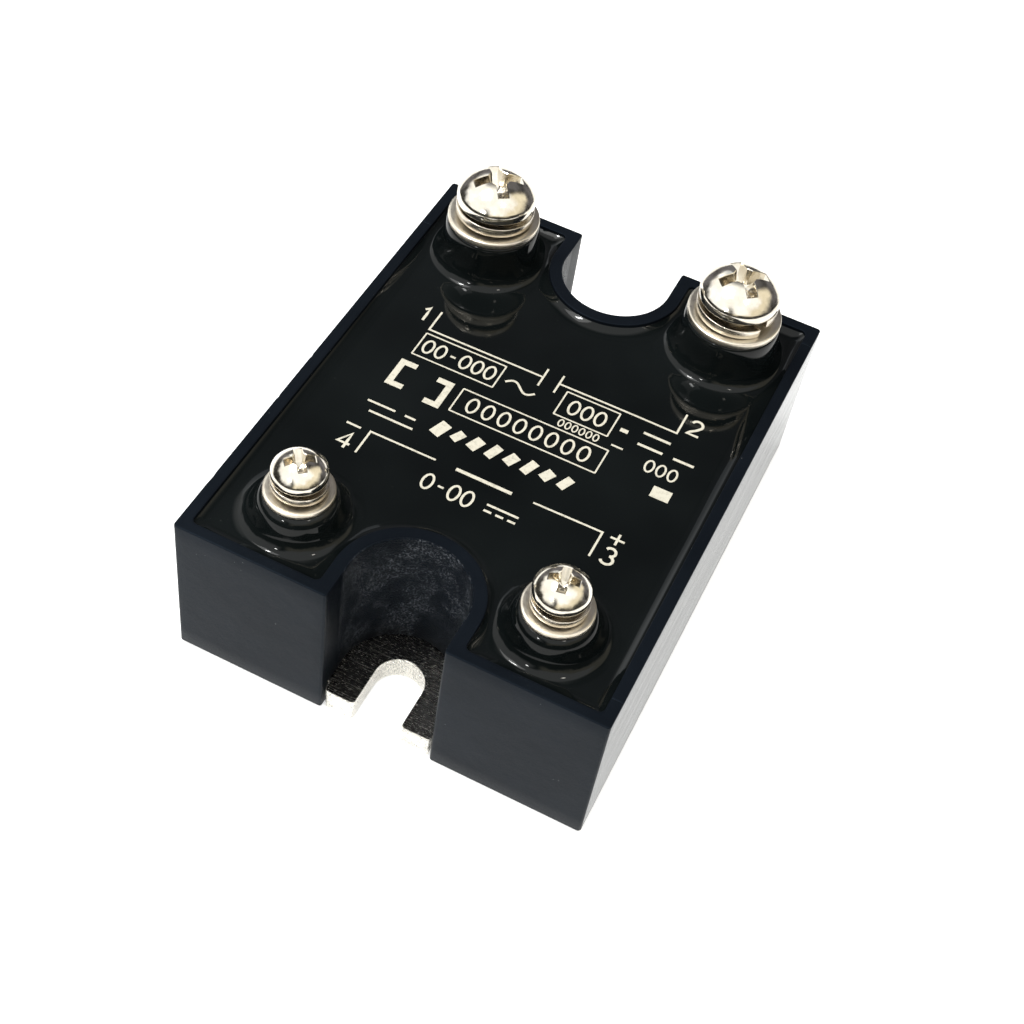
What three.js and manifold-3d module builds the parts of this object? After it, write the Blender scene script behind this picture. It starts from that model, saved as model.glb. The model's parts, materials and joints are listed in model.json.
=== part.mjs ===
// Panel-mount solid state relay, two antiparallel thyristors on an insulated metal base.
// Frame: millimetres, +Z up, origin at the middle of the heat-sink face.
// X runs across the width, Y along the length: power terminals 1 and 2 at +Y,
// control terminals 3 and 4 at -Y.
import * as THREE from 'three';
import { mergeVertices } from 'three/addons/utils/BufferGeometryUtils.js';
import Module from 'manifold-3d';

const wasm = await Module();
wasm.setup();

// ---------------------------------------------------------------- dimensions
const WIDTH = 44.8;            // housing, X
const LENGTH = 58.2;           // housing, Y
const RIM_Z = 18.7;            // top of the housing rim
const SKIRT_Z = 0.2;           // underside of the housing, just clear of the heat sink
const WALL = 1.25;             // outer wall
const NOTCH_R = 6.05;          // mounting notch radius and half width
const NOTCH_Y = 24.75;         // centre of the notch radius
const NOTCH_WALL = 1.45;       // wall round the notch
const NOTCH_SEGS = 20;         // facets on a notch half circle

const PLATE_T = 3.0;           // base plate thickness
const PLATE_HX = 20.95;        // half width inside the skirt
const PLATE_HY = 27.6;         // half length inside the skirt
const TAB_HX = 5.85;           // half width of the mounting tab in the notch
const TAB_HY = 28.85;          // how far the tab reaches
const SLOT_R = 2.6;            // mounting slot half width
const SLOT_Y = 24.3;           // centre of the slot's round end

const RESIN_Z = 17.8;          // potting level
const RESIN_BOTTOM = 13.3;     // underside of the epoxy cap
const GEL_BOTTOM = 3.15;
const GEL_TOP = 13.2;

// power terminals, M5
const OUT = {
  x: 14.05, y: 21.5, seat: 22.75, washerR: 5.0, washerBore: 2.65, washerT: 0.7,
  lockR: 4.25, lockBore: 2.6, lockT: 1.0, lockH: 2.0,
  headR: 4.25, headWall: 0.9, headK: 3.1, shankR: 2.4, length: 8.0,
  recessR: 2.6, recessW: 1.15, recessD: 1.9,
  insertR: 4.0, insertBore: 2.6, insertBottom: 14.6, boreBottom: 16.2,
  bossTopR: 5.12, bossBaseR: 5.75,
};
// control terminals, M3
const IN = {
  x: 13.4, y: -21.3, seat: 21.15, washerR: 3.5, washerBore: 1.65, washerT: 0.55,
  lockR: 2.8, lockBore: 1.58, lockT: 0.8, lockH: 1.85,
  headR: 2.75, headWall: 0.75, headK: 2.3, shankR: 1.42, length: 6.0,
  recessR: 1.45, recessW: 0.8, recessD: 1.3,
  insertR: 2.75, insertBore: 1.56, insertBottom: 14.2, boreBottom: 15.6,
  bossTopR: 3.62, bossBaseR: 5.2,
};

// power stage stack on the base plate
const BACK_CU_Z = PLATE_T + 0.05;
const CERAMIC_Z = BACK_CU_Z + 0.3;
const TRACK_Z = CERAMIC_Z + 0.63;
const DIE_Z = TRACK_Z + 0.3;
const DIE_T = 0.4;
const CLIP_Z = DIE_Z + DIE_T;
const BUSBAR_T = 1.0;
const BUSBAR_W = 5.0;

const BOARD_Z = 9.0;
const BOARD_T = 1.0;
const BOARD_TOP = BOARD_Z + BOARD_T;

// ---------------------------------------------------------------- helpers
function toSolid(geometry) {
  const g = geometry.clone();
  g.deleteAttribute('normal');
  g.deleteAttribute('uv');
  const m = mergeVertices(g, 1e-5);
  const index = m.index ? m.index.array : null;
  return new wasm.Manifold(new wasm.Mesh({
    numProp: 3,
    vertProperties: new Float32Array(m.attributes.position.array),
    triVerts: new Uint32Array(index),
  }));
}

function toGeometry(solid) {
  const mesh = solid.getMesh();
  const g = new THREE.BufferGeometry();
  g.setAttribute('position', new THREE.BufferAttribute(new Float32Array(mesh.vertProperties), 3));
  g.setIndex(new THREE.BufferAttribute(new Uint32Array(mesh.triVerts), 1));
  g.computeVertexNormals();
  return g;
}

// a box given by its low and high corners
function block(x0, y0, z0, x1, y1, z1) {
  const g = new THREE.BoxGeometry(x1 - x0, y1 - y0, z1 - z0);
  g.translate((x0 + x1) / 2, (y0 + y1) / 2, (z0 + z1) / 2);
  return toSolid(g);
}

// a shape in XY raised from z0 to z1
function prism(shape, z0, z1, curveSegments = 12) {
  const g = new THREE.ExtrudeGeometry(shape, { depth: z1 - z0, bevelEnabled: false, curveSegments });
  g.translate(0, 0, z0);
  return toSolid(g);
}

// points [y, z] raised along X from x0 to x1
function profileAlongX(points, x0, x1) {
  const s = new THREE.Shape(points.map(([y, z]) => new THREE.Vector2(y, z)));
  const g = new THREE.ExtrudeGeometry(s, { depth: x1 - x0, bevelEnabled: false });
  // local x is y, local y is z, local z is x
  g.applyMatrix4(new THREE.Matrix4().set(0, 0, 1, x0, 1, 0, 0, 0, 0, 1, 0, 0, 0, 0, 0, 1));
  return toSolid(g);
}

// points [x, z] raised along Y from y0 to y1
function profileAlongY(points, y0, y1) {
  const s = new THREE.Shape(points.map(([x, z]) => new THREE.Vector2(x, z)));
  const g = new THREE.ExtrudeGeometry(s, { depth: y1 - y0, bevelEnabled: false });
  g.applyMatrix4(new THREE.Matrix4().set(1, 0, 0, 0, 0, 0, -1, y1, 0, 1, 0, 0, 0, 0, 0, 1));
  return toSolid(g);
}

// a turned piece: profile [[r, z], ...] about a vertical axis at x, y
function turned(profile, segments, x = 0, y = 0) {
  const g = new THREE.LatheGeometry(profile.map(([r, z]) => new THREE.Vector2(r, z)), segments);
  g.rotateX(Math.PI / 2);
  g.translate(x, y, 0);
  let s = toSolid(g);
  if (s.volume() < 0) {
    const idx = g.index.array;
    for (let i = 0; i < idx.length; i += 3) { const t = idx[i]; idx[i] = idx[i + 1]; idx[i + 1] = t; }
    s = toSolid(g);
  }
  return s;
}

function cylinder(r, z0, z1, segments, x = 0, y = 0) {
  return turned([[0, z0], [r, z0], [r, z1], [0, z1]], segments, x, y);
}

// a horizontal rod along X
function rodX(r, x0, x1, y, z, segments = 12) {
  const g = new THREE.CylinderGeometry(r, r, x1 - x0, segments);
  g.rotateZ(Math.PI / 2);
  g.translate((x0 + x1) / 2, y, z);
  return toSolid(g);
}

// a box that narrows downwards: sizes at the top and the bottom
function wedge(lx1, ly1, lx0, ly0, z0, z1) {
  const g = new THREE.BoxGeometry(1, 1, z1 - z0);
  const p = g.attributes.position;
  for (let i = 0; i < p.count; i += 1) {
    const top = p.getZ(i) > 0;
    p.setX(i, p.getX(i) * (top ? lx1 : lx0));
    p.setY(i, p.getY(i) * (top ? ly1 : ly0));
  }
  g.translate(0, 0, (z0 + z1) / 2);
  return toSolid(g);
}

// notch outline: round end towards the middle, open at the outside edge
function notchShape(side, r, reach, segs = NOTCH_SEGS, centre = NOTCH_Y) {
  const pts = [];
  for (let i = 0; i <= segs; i += 1) {
    const a = Math.PI * (i / segs);
    pts.push(new THREE.Vector2(r * Math.cos(a), side * (centre - r * Math.sin(a))));
  }
  pts.push(new THREE.Vector2(-r, side * reach));
  pts.push(new THREE.Vector2(r, side * reach));
  return new THREE.Shape(pts);
}

function roundedRect(hx, hy, r, segs = 5) {
  const pts = [];
  for (const [cx, cy, a0] of [[hx - r, hy - r, 0], [-hx + r, hy - r, 90], [-hx + r, -hy + r, 180], [hx - r, -hy + r, 270]]) {
    for (let i = 0; i <= segs; i += 1) {
      const a = ((a0 + (90 * i) / segs) * Math.PI) / 180;
      pts.push(new THREE.Vector2(cx + r * Math.cos(a), cy + r * Math.sin(a)));
    }
  }
  return new THREE.Shape(pts);
}

// ---------------------------------------------------------------- housing
const hx = WIDTH / 2;
const hy = LENGTH / 2;

// the space inside the walls, shrunk by gap
function interior(z0, z1, gap) {
  let s = prism(roundedRect(hx - WALL - gap, hy - WALL - gap, 0.6), z0, z1);
  for (const side of [1, -1]) {
    s = s.subtract(prism(notchShape(side, NOTCH_R + NOTCH_WALL + gap, hy + 3), z0 - 1, z1 + 1));
  }
  return s;
}

function makeHousing() {
  let s = prism(roundedRect(hx, hy, 0.35, 3), SKIRT_Z, RIM_Z);
  for (const side of [1, -1]) {
    s = s.subtract(prism(notchShape(side, NOTCH_R, hy + 3), -1, RIM_Z + 1));
  }
  s = s.subtract(interior(-1, RIM_Z + 1, 0));
  // the notch walls stand on the base plate, so they stop at its top
  s = s.subtract(prism(roundedRect(hx - WALL, hy - WALL, 0.6), -1, PLATE_T + 0.05));
  return s;
}

// ---------------------------------------------------------------- base plate
function makeBasePlate() {
  let s = prism(roundedRect(PLATE_HX, PLATE_HY, 1.0), 0, PLATE_T);
  s = s.add(prism(roundedRect(TAB_HX, TAB_HY, 0.4, 3), 0, PLATE_T));
  for (const side of [1, -1]) {
    s = s.subtract(prism(notchShape(side, SLOT_R, hy + 3, 20, SLOT_Y), -1, PLATE_T + 1));
  }
  return s;
}

// ---------------------------------------------------------------- potting
function boss(t, x) {
  const top = t.seat - 0.05;
  const h = top - RESIN_Z;
  return turned([
    [0, RESIN_BOTTOM + 0.5], [t.bossBaseR + 0.9, RESIN_BOTTOM + 0.5], [t.bossBaseR + 0.9, RESIN_Z],
    [t.bossBaseR + 0.25, RESIN_Z + 0.28], [t.bossBaseR - 0.12, RESIN_Z + 0.95],
    [t.bossTopR + (t.bossBaseR - t.bossTopR) * 0.45, RESIN_Z + h * 0.66],
    [t.bossTopR, top], [0, top],
  ], 24, x, t.y);
}

function makeResin(busbars) {
  let s = interior(RESIN_BOTTOM, RESIN_Z, 0.05);
  const limit = interior(RESIN_BOTTOM, RIM_Z + 8, 0.05);
  for (const [t, x] of terminals()) s = s.add(boss(t, x).intersect(limit));
  for (const [t, x] of terminals()) {
    s = s.subtract(cylinder(t.insertR + 0.1, t.insertBottom - 0.05, RIM_Z + 9, 24, x, t.y));
    if (t === IN) s = s.subtract(cylinder(1.2, RESIN_BOTTOM - 1, t.insertBottom, 16, x, t.y));
  }
  for (const b of busbars) s = s.subtract(b);
  return s;
}

// [terminal data, x position]: terminals 1 and 2 carry the load, 3 and 4 the control input
function terminals() {
  return [[OUT, -OUT.x], [OUT, OUT.x], [IN, IN.x], [IN, -IN.x]];
}

// ---------------------------------------------------------------- terminals
function makeInsert(t, x) {
  return turned([
    [0, t.insertBottom], [t.insertR, t.insertBottom], [t.insertR, t.seat],
    [t.insertBore, t.seat], [t.insertBore, t.boreBottom], [0, t.boreBottom - 0.4],
  ], 24, x, t.y);
}

function makeScrew(t, x, turn) {
  const z0 = t.seat + t.washerT + t.lockH;       // underside of the head
  const zt = z0 - t.length;
  const R = t.headR;
  const K = t.headK;
  const w = t.headWall;
  let s = turned([
    [0, zt], [t.shankR - 0.35, zt], [t.shankR, zt + 0.35], [t.shankR, z0],
    [R, z0], [R, z0 + w],
    [R * 0.95, z0 + w + (K - w) * 0.36], [R * 0.80, z0 + w + (K - w) * 0.68],
    [R * 0.44, z0 + w + (K - w) * 0.94], [R * 0.2, z0 + K], [0, z0 + K],
  ], 28);
  const top = z0 + K + 0.2;
  const bottom = z0 + K - t.recessD;
  const cross = wedge(2 * t.recessR, t.recessW, 1.3 * t.recessR, t.recessW * 0.8, bottom, top)
    .add(wedge(t.recessW, 2 * t.recessR, t.recessW * 0.8, 1.3 * t.recessR, bottom, top));
  s = s.subtract(cross);
  return s.rotate([0, 0, turn]).translate([x, t.y, 0]);
}

function makeFlatWasher(t, x) {
  const z0 = t.seat;
  const z1 = z0 + t.washerT;
  return turned([
    [t.washerBore, z0], [t.washerR, z0], [t.washerR, z1 - 0.1],
    [t.washerR - 0.1, z1], [t.washerBore, z1], [t.washerBore, z0],
  ], 24, x, t.y);
}

// a split spring washer: one left-handed turn of square section, its two ends standing apart
function makeLockWasher(t, x, splitDeg) {
  const steps = 30;
  const gapDeg = 9;
  const z0 = t.seat + t.washerT;
  const rise = t.lockH - t.lockT;
  const pos = [];
  for (let i = 0; i <= steps; i += 1) {
    const u = i / steps;
    const a = ((splitDeg + gapDeg / 2 + u * (360 - gapDeg)) * Math.PI) / 180;
    const z = z0 + rise * (1 - u);
    for (const [r, dz] of [[t.lockBore, 0], [t.lockR, 0], [t.lockR, t.lockT], [t.lockBore, t.lockT]]) {
      pos.push(x + r * Math.cos(a), t.y + r * Math.sin(a), z + dz);
    }
  }
  const idx = [];
  for (let i = 0; i < steps; i += 1) {
    for (let k = 0; k < 4; k += 1) {
      const a = i * 4 + k;
      const b = i * 4 + ((k + 1) % 4);
      const c = a + 4;
      const d = b + 4;
      idx.push(a, b, d, a, d, c);
    }
  }
  idx.push(0, 2, 1, 0, 3, 2);
  const e = steps * 4;
  idx.push(e, e + 1, e + 2, e, e + 2, e + 3);
  const build = () => {
    const g = new THREE.BufferGeometry();
    g.setAttribute('position', new THREE.BufferAttribute(new Float32Array(pos), 3));
    g.setIndex(idx);
    return toSolid(g);
  };
  let s = build();
  if (s.volume() < 0) {
    for (let i = 0; i < idx.length; i += 3) { const q = idx[i]; idx[i] = idx[i + 1]; idx[i + 1] = q; }
    s = build();
  }
  return s;
}

// ---------------------------------------------------------------- power stage
const SUB = { x0: -17.2, x1: 17.2, y0: -8.0, y1: 14.0 };
const DIE_1 = { x0: -10.5, x1: -1.5, y0: 1.5, y1: 10.5 };
const DIE_2 = { x0: 1.5, x1: 10.5, y0: -5.5, y1: 3.5 };

function busbarProfile(grow = 0) {
  const g = grow;
  const z = DIE_Z;
  const t = BUSBAR_T;
  return [
    [8.5 - g, z - g], [22.0 + g, z - g], [22.0 + g, OUT.insertBottom - t - g], [24.4 + g, OUT.insertBottom - t - g],
    [24.4 + g, OUT.insertBottom + (g ? 0.05 : 0)], [21.0 - g, OUT.insertBottom + (g ? 0.05 : 0)],
    [21.0 - g, z + t + g], [8.5 - g, z + t + g],
  ];
}

function makeBusbar(x, grow = 0) {
  return profileAlongX(busbarProfile(grow), x - BUSBAR_W / 2 - grow, x + BUSBAR_W / 2 + grow);
}

// the copper bridge from the top of one thyristor chip to the other chip's track
function makeClip(sign, yMid) {
  const z = CLIP_Z;
  const pts = [[-9.2, z], [2.6, z], [2.6, DIE_Z], [4.6, DIE_Z], [4.6, z + 0.65], [-9.2, z + 0.65]];
  const placed = pts.map(([px, pz]) => [sign * px, pz]);
  if (sign < 0) placed.reverse();
  return profileAlongY(placed, yMid - 2, yMid + 2);
}

// ---------------------------------------------------------------- control board
function makeBoard() {
  let s = prism(roundedRect(18.6, 16.4, 0.8), BOARD_Z, BOARD_TOP).translate([0, -9.4, 0]);
  s = s.subtract(prism(notchShape(-1, NOTCH_R + NOTCH_WALL + 0.7, hy + 3), BOARD_Z - 1, BOARD_TOP + 1));
  for (const x of [-IN.x, IN.x]) s = s.subtract(cylinder(0.62, BOARD_Z - 1, BOARD_TOP + 1, 16, x, IN.y));
  for (const [x, y] of GATE_AT) s = s.subtract(cylinder(0.5, BOARD_Z - 1, BOARD_TOP + 1, 12, x, y));
  return s;
}

const GATE_AT = [[-9.4, 2.6], [9.4, 2.4]];

function makeGateLead(i) {
  const [x, y] = GATE_AT[i];
  // a wire from the chip's gate pad, widened at the pad, to the board
  const boardTop = BOARD_TOP + 0.5;
  return turned([[0, CLIP_Z], [0.75, CLIP_Z], [0.75, CLIP_Z + 0.3], [0.38, CLIP_Z + 0.6], [0.38, boardTop], [0, boardTop]], 12, x, y);
}

function makeInputPin(x) {
  return turned([
    [0, BOARD_Z - 0.7], [0.5, BOARD_Z - 0.7], [0.5, BOARD_TOP], [1.0, BOARD_TOP], [1.0, IN.insertBottom], [0, IN.insertBottom],
  ], 16, x, IN.y);
}

// a six-leg dual in-line package
function makeOptocoupler(x, y) {
  const z = BOARD_TOP;
  let s = block(x - 4.4, y - 3.2, z + 0.35, x + 4.4, y + 3.2, z + 3.0);
  s = s.subtract(cylinder(0.6, z + 2.8, z + 3.5, 12, x - 3.6, y));
  for (const px of [-2.54, 0, 2.54]) {
    for (const side of [1, -1]) {
      s = s.add(profileAlongX(
        side > 0
          ? [[y + 3.1, z + 1.3], [y + 4.0, z + 1.3], [y + 4.0, z], [y + 4.3, z], [y + 4.3, z + 1.6], [y + 3.1, z + 1.6]]
          : [[y - 3.1, z + 1.6], [y - 4.3, z + 1.6], [y - 4.3, z], [y - 4.0, z], [y - 4.0, z + 1.3], [y - 3.1, z + 1.3]],
        x + px - 0.35, x + px + 0.35,
      ));
    }
  }
  return s;
}

// an axial resistor lying on the board
function makeResistor(x, y) {
  const z = BOARD_TOP + 1.35;
  let s = rodX(1.1, x - 2.9, x + 2.9, y, z, 10);
  s = s.add(rodX(1.3, x - 3.1, x - 1.9, y, z, 10)).add(rodX(1.3, x + 1.9, x + 3.1, y, z, 10));
  s = s.add(rodX(0.3, x - 4.6, x + 4.6, y, z, 6));
  for (const dx of [-4.6, 4.3]) s = s.add(block(x + dx, y - 0.3, BOARD_TOP, x + dx + 0.3, y + 0.3, z + 0.2));
  return s;
}

// a small surface-mount package with end terminals
function makeChipPackage(x, y, lx, ly, lz) {
  const z = BOARD_TOP;
  let s = block(x - lx / 2, y - ly / 2, z + 0.2, x + lx / 2, y + ly / 2, z + lz);
  s = s.add(block(x - lx / 2 - 0.5, y - ly / 4, z, x - lx / 2 + 0.4, y + ly / 4, z + lz * 0.55));
  s = s.add(block(x + lx / 2 - 0.4, y - ly / 4, z, x + lx / 2 + 0.5, y + ly / 4, z + lz * 0.55));
  return s;
}

// ---------------------------------------------------------------- gel fill
// soft silicone gel fills the space below the epoxy cap, all round the pieces in it
function makeGel() {
  const c = 0.3;
  let s = interior(GEL_BOTTOM, GEL_TOP, 0.3);
  const hole = (x0, y0, z0, x1, y1, z1) => { s = s.subtract(block(x0 - c, y0 - c, z0 - c, x1 + c, y1 + c, z1 + c)); };
  hole(SUB.x0, SUB.y0, 2, SUB.x1, SUB.y1, DIE_Z);
  for (const d of [DIE_1, DIE_2]) hole(d.x0, d.y0, 2, d.x1, d.y1, CLIP_Z);
  hole(-9.2, 4.5, 2, 4.6, 8.5, CLIP_Z + 0.65);
  hole(-4.6, -4.5, 2, 9.2, -0.5, CLIP_Z + 0.65);
  for (const x of [-OUT.x, OUT.x]) {
    s = s.subtract(makeBusbar(x, c));
    hole(x - BUSBAR_W / 2, 21, 10, x + BUSBAR_W / 2, 24.4, GEL_TOP + 1);
  }
  s = s.subtract(prism(roundedRect(18.6 + c, 16.4 + c, 0.8), BOARD_Z - c, BOARD_TOP + c).translate([0, -9.4, 0]));
  for (const [x, y] of GATE_AT) s = s.subtract(cylinder(1.1, 4, BOARD_Z, 12, x, y)).subtract(cylinder(1.1, BOARD_Z, BOARD_TOP + 0.9, 12, x, y));
  for (const x of [-IN.x, IN.x]) s = s.subtract(cylinder(1.4, BOARD_Z - 1.1, GEL_TOP + 1, 16, x, IN.y));
  hole(OPTO.x - 4.4, OPTO.y - 4.3, BOARD_TOP, OPTO.x + 4.4, OPTO.y + 4.3, BOARD_TOP + 3.0);
  for (const r of [RES_IN, RES_GATE]) hole(r.x - 4.6, r.y - 1.3, BOARD_TOP, r.x + 4.6, r.y + 1.3, BOARD_TOP + 2.65);
  for (const p of [LIMITER, DIODE]) hole(p.x - p.lx / 2 - 0.5, p.y - p.ly / 2, BOARD_TOP, p.x + p.lx / 2 + 0.5, p.y + p.ly / 2, BOARD_TOP + p.lz);
  return s;
}

const OPTO = { x: 0, y: -2.6 };
const RES_IN = { x: -12.6, y: -12.2 };
const RES_GATE = { x: 12.4, y: -2.6 };
const LIMITER = { x: 12.6, y: -12.4, lx: 6.5, ly: 3.5, lz: 1.7 };
const DIODE = { x: -13.0, y: -4.6, lx: 4.4, ly: 2.7, lz: 2.2 };

// ---------------------------------------------------------------- the assembly
const MAT = {
  housing: [0x1b1f24, 0.62, 0.0],
  nickel: [0xd9d3c2, 0.22, 1.0],
  plate: [0xcfc9ba, 0.34, 1.0],
  resin: [0x0b0f10, 0.12, 0.0],
  gel: [0xdfe3df, 0.25, 0.0],
  brass: [0xd9bf7a, 0.3, 1.0],
  copper: [0xc47a4e, 0.35, 1.0],
  ceramic: [0xeef0ee, 0.6, 0.0],
  silicon: [0x5a5d63, 0.25, 0.4],
  board: [0x1f5a38, 0.45, 0.0],
  epoxy: [0x17181a, 0.55, 0.0],
  resistor: [0x9fb7c4, 0.5, 0.0],
};

const relay = new THREE.Group();

function addPart(parent, name, solid, finish) {
  const [color, roughness, metalness] = MAT[finish];
  const mesh = new THREE.Mesh(toGeometry(solid), new THREE.MeshStandardMaterial({ color, roughness, metalness }));
  mesh.name = name;
  parent.add(mesh);
  return mesh;
}

const enclosure = new THREE.Group();
const power = new THREE.Group();
const control = new THREE.Group();
const hardware = new THREE.Group();
relay.add(enclosure, power, control, hardware);

const busbarSpace = [makeBusbar(-OUT.x, 0.15), makeBusbar(OUT.x, 0.15)];

addPart(enclosure, 'housing', makeHousing(), 'housing');
addPart(enclosure, 'base_plate', makeBasePlate(), 'plate');
addPart(enclosure, 'potting_resin', makeResin(busbarSpace), 'resin');
addPart(enclosure, 'silicone_gel', makeGel(), 'gel');

addPart(power, 'substrate_back_copper', block(SUB.x0 + 0.5, SUB.y0 + 0.5, BACK_CU_Z, SUB.x1 - 0.5, SUB.y1 - 0.5, CERAMIC_Z), 'copper');
addPart(power, 'ceramic_substrate', block(SUB.x0, SUB.y0, CERAMIC_Z, SUB.x1, SUB.y1, TRACK_Z), 'ceramic');
addPart(power, 'copper_track_1', block(SUB.x0 + 0.6, SUB.y0 + 0.6, TRACK_Z, -0.6, SUB.y1 - 0.6, DIE_Z), 'copper');
addPart(power, 'copper_track_2', block(0.6, SUB.y0 + 0.6, TRACK_Z, SUB.x1 - 0.6, SUB.y1 - 0.6, DIE_Z), 'copper');
addPart(power, 'thyristor_chip_1', block(DIE_1.x0, DIE_1.y0, DIE_Z, DIE_1.x1, DIE_1.y1, CLIP_Z), 'silicon');
addPart(power, 'thyristor_chip_2', block(DIE_2.x0, DIE_2.y0, DIE_Z, DIE_2.x1, DIE_2.y1, CLIP_Z), 'silicon');
addPart(power, 'cathode_clip_1', makeClip(1, 6.5), 'copper');
addPart(power, 'cathode_clip_2', makeClip(-1, -2.5), 'copper');
addPart(power, 'output_busbar_1', makeBusbar(-OUT.x), 'copper');
addPart(power, 'output_busbar_2', makeBusbar(OUT.x), 'copper');
addPart(power, 'gate_lead_1', makeGateLead(0), 'copper');
addPart(power, 'gate_lead_2', makeGateLead(1), 'copper');

addPart(control, 'control_board', makeBoard(), 'board');
addPart(control, 'optocoupler', makeOptocoupler(OPTO.x, OPTO.y), 'epoxy');
addPart(control, 'input_resistor', makeResistor(RES_IN.x, RES_IN.y), 'resistor');
addPart(control, 'gate_resistor', makeResistor(RES_GATE.x, RES_GATE.y), 'resistor');
addPart(control, 'current_limiter', makeChipPackage(LIMITER.x, LIMITER.y, LIMITER.lx, LIMITER.ly, LIMITER.lz), 'epoxy');
addPart(control, 'protection_diode', makeChipPackage(DIODE.x, DIODE.y, DIODE.lx, DIODE.ly, DIODE.lz), 'epoxy');
addPart(control, 'input_pin_3', makeInputPin(IN.x), 'brass');
addPart(control, 'input_pin_4', makeInputPin(-IN.x), 'brass');

const PLACES = [
  [1, OUT, -OUT.x, 38, 75], [2, OUT, OUT.x, 40, 331], [3, IN, IN.x, 12, 50], [4, IN, -IN.x, 40, 110],
];
for (const [n, t, x, turn, split] of PLACES) {
  const kind = t === OUT ? 'output' : 'input';
  addPart(hardware, `${kind}_insert_${n}`, makeInsert(t, x), 'brass');
  addPart(hardware, `${kind}_flat_washer_${n}`, makeFlatWasher(t, x), 'nickel');
  addPart(hardware, `${kind}_lock_washer_${n}`, makeLockWasher(t, x, split), 'nickel');
  addPart(hardware, `${kind}_screw_${n}`, makeScrew(t, x, turn), 'nickel');
}

export default relay;
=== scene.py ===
import json
import math

import bpy
import bmesh
import numpy as np
from mathutils import Matrix, Vector
from mathutils.geometry import delaunay_2d_cdt


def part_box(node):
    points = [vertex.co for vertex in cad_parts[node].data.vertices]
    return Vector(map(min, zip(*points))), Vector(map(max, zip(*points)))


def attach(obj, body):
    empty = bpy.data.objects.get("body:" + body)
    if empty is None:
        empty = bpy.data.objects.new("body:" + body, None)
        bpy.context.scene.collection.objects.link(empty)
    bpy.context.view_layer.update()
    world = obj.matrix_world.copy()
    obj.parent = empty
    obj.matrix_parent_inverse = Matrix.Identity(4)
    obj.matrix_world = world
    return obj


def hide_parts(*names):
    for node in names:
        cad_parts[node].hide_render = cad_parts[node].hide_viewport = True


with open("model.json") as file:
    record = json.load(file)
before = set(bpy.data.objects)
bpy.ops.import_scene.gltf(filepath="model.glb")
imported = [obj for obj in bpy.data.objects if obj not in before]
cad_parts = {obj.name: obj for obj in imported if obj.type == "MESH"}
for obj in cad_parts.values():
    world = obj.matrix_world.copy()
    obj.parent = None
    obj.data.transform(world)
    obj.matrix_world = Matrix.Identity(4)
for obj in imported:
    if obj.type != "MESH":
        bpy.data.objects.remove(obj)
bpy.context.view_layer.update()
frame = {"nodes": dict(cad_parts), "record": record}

MM = 0.001
rng = np.random.default_rng(7)


def box_mm(node):
    """(lowest corner, highest corner) of a CAD node, in millimetres"""
    lo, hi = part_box(node)
    return np.array(lo) / MM, np.array(hi) / MM


# ------------------------------------------------------------------ sizes from the frame, mm

h_lo, h_hi = box_mm("housing")
p_lo, p_hi = box_mm("base_plate")
HX, HY = h_hi[0], h_hi[1]
RIM = h_hi[2]
SKIRT = h_lo[2]
PLATE_T = p_hi[2]
WALL = 1.25
NOTCH_R, NOTCH_Y, NOTCH_WALL = 6.05, 24.75, 1.45
RESIN_Z = RIM - 0.9
RESIN_BOTTOM = box_mm("potting_resin")[0][2]
PLATE_HX, TAB_HY = p_hi[0], p_hi[1]
PLATE_HY, TAB_HX, SLOT_R, SLOT_Y = 27.6, 5.85, 2.6, 24.3


def centre(node):
    lo, hi = box_mm(node)
    return (lo + hi) / 2


OUT = dict(kind="output", washer_r=5.0, washer_bore=2.65, washer_t=0.7, lock_r=4.25, lock_bore=2.6, lock_t=1.0,
           lock_h=2.0, head_r=4.25, band=0.9, dome=3.1, crest=2.4, root=2.04, pitch=0.8, length=8.0, recess=2.6,
           arm=1.15, depth=1.9, core=1.0, insert_r=4.0, insert_bore=2.6,
           boss=[(3.9, 4.90), (4.72, 4.90), (4.92, 4.80), (5.05, 4.55), (5.14, 4.1), (5.26, 3.0), (5.40, 2.0),
                 (5.58, 1.22), (5.84, 0.64), (6.20, 0.25), (6.66, 0.06), (7.4, 0.0)])
IN = dict(kind="input", washer_r=3.5, washer_bore=1.65, washer_t=0.55, lock_r=2.8, lock_bore=1.58, lock_t=0.8,
          lock_h=1.85, head_r=2.75, band=0.75, dome=2.3, crest=1.42, root=1.17, pitch=0.5, length=6.0, recess=1.45,
          arm=0.8, depth=1.3, core=0.66, insert_r=2.75, insert_bore=1.56,
          boss=[(2.65, 3.30), (3.15, 3.30), (3.45, 3.20), (3.72, 3.00), (3.98, 2.64), (4.18, 2.18), (4.36, 1.66),
                (4.56, 1.18), (4.84, 0.72), (5.22, 0.35), (5.75, 0.11), (6.6, 0.0)])
TERMINALS = []
for n, t, turn, split in ((1, OUT, 38, 75), (2, OUT, 40, 331), (3, IN, 12, 50), (4, IN, 40, 110)):
    c = centre(f"{t['kind']}_screw_{n}")
    seat = box_mm(f"{t['kind']}_flat_washer_{n}")[0][2]
    TERMINALS.append((n, t, float(c[0]), float(c[1]), float(seat), turn, split))

# ------------------------------------------------------------------ mesh helpers


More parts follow.
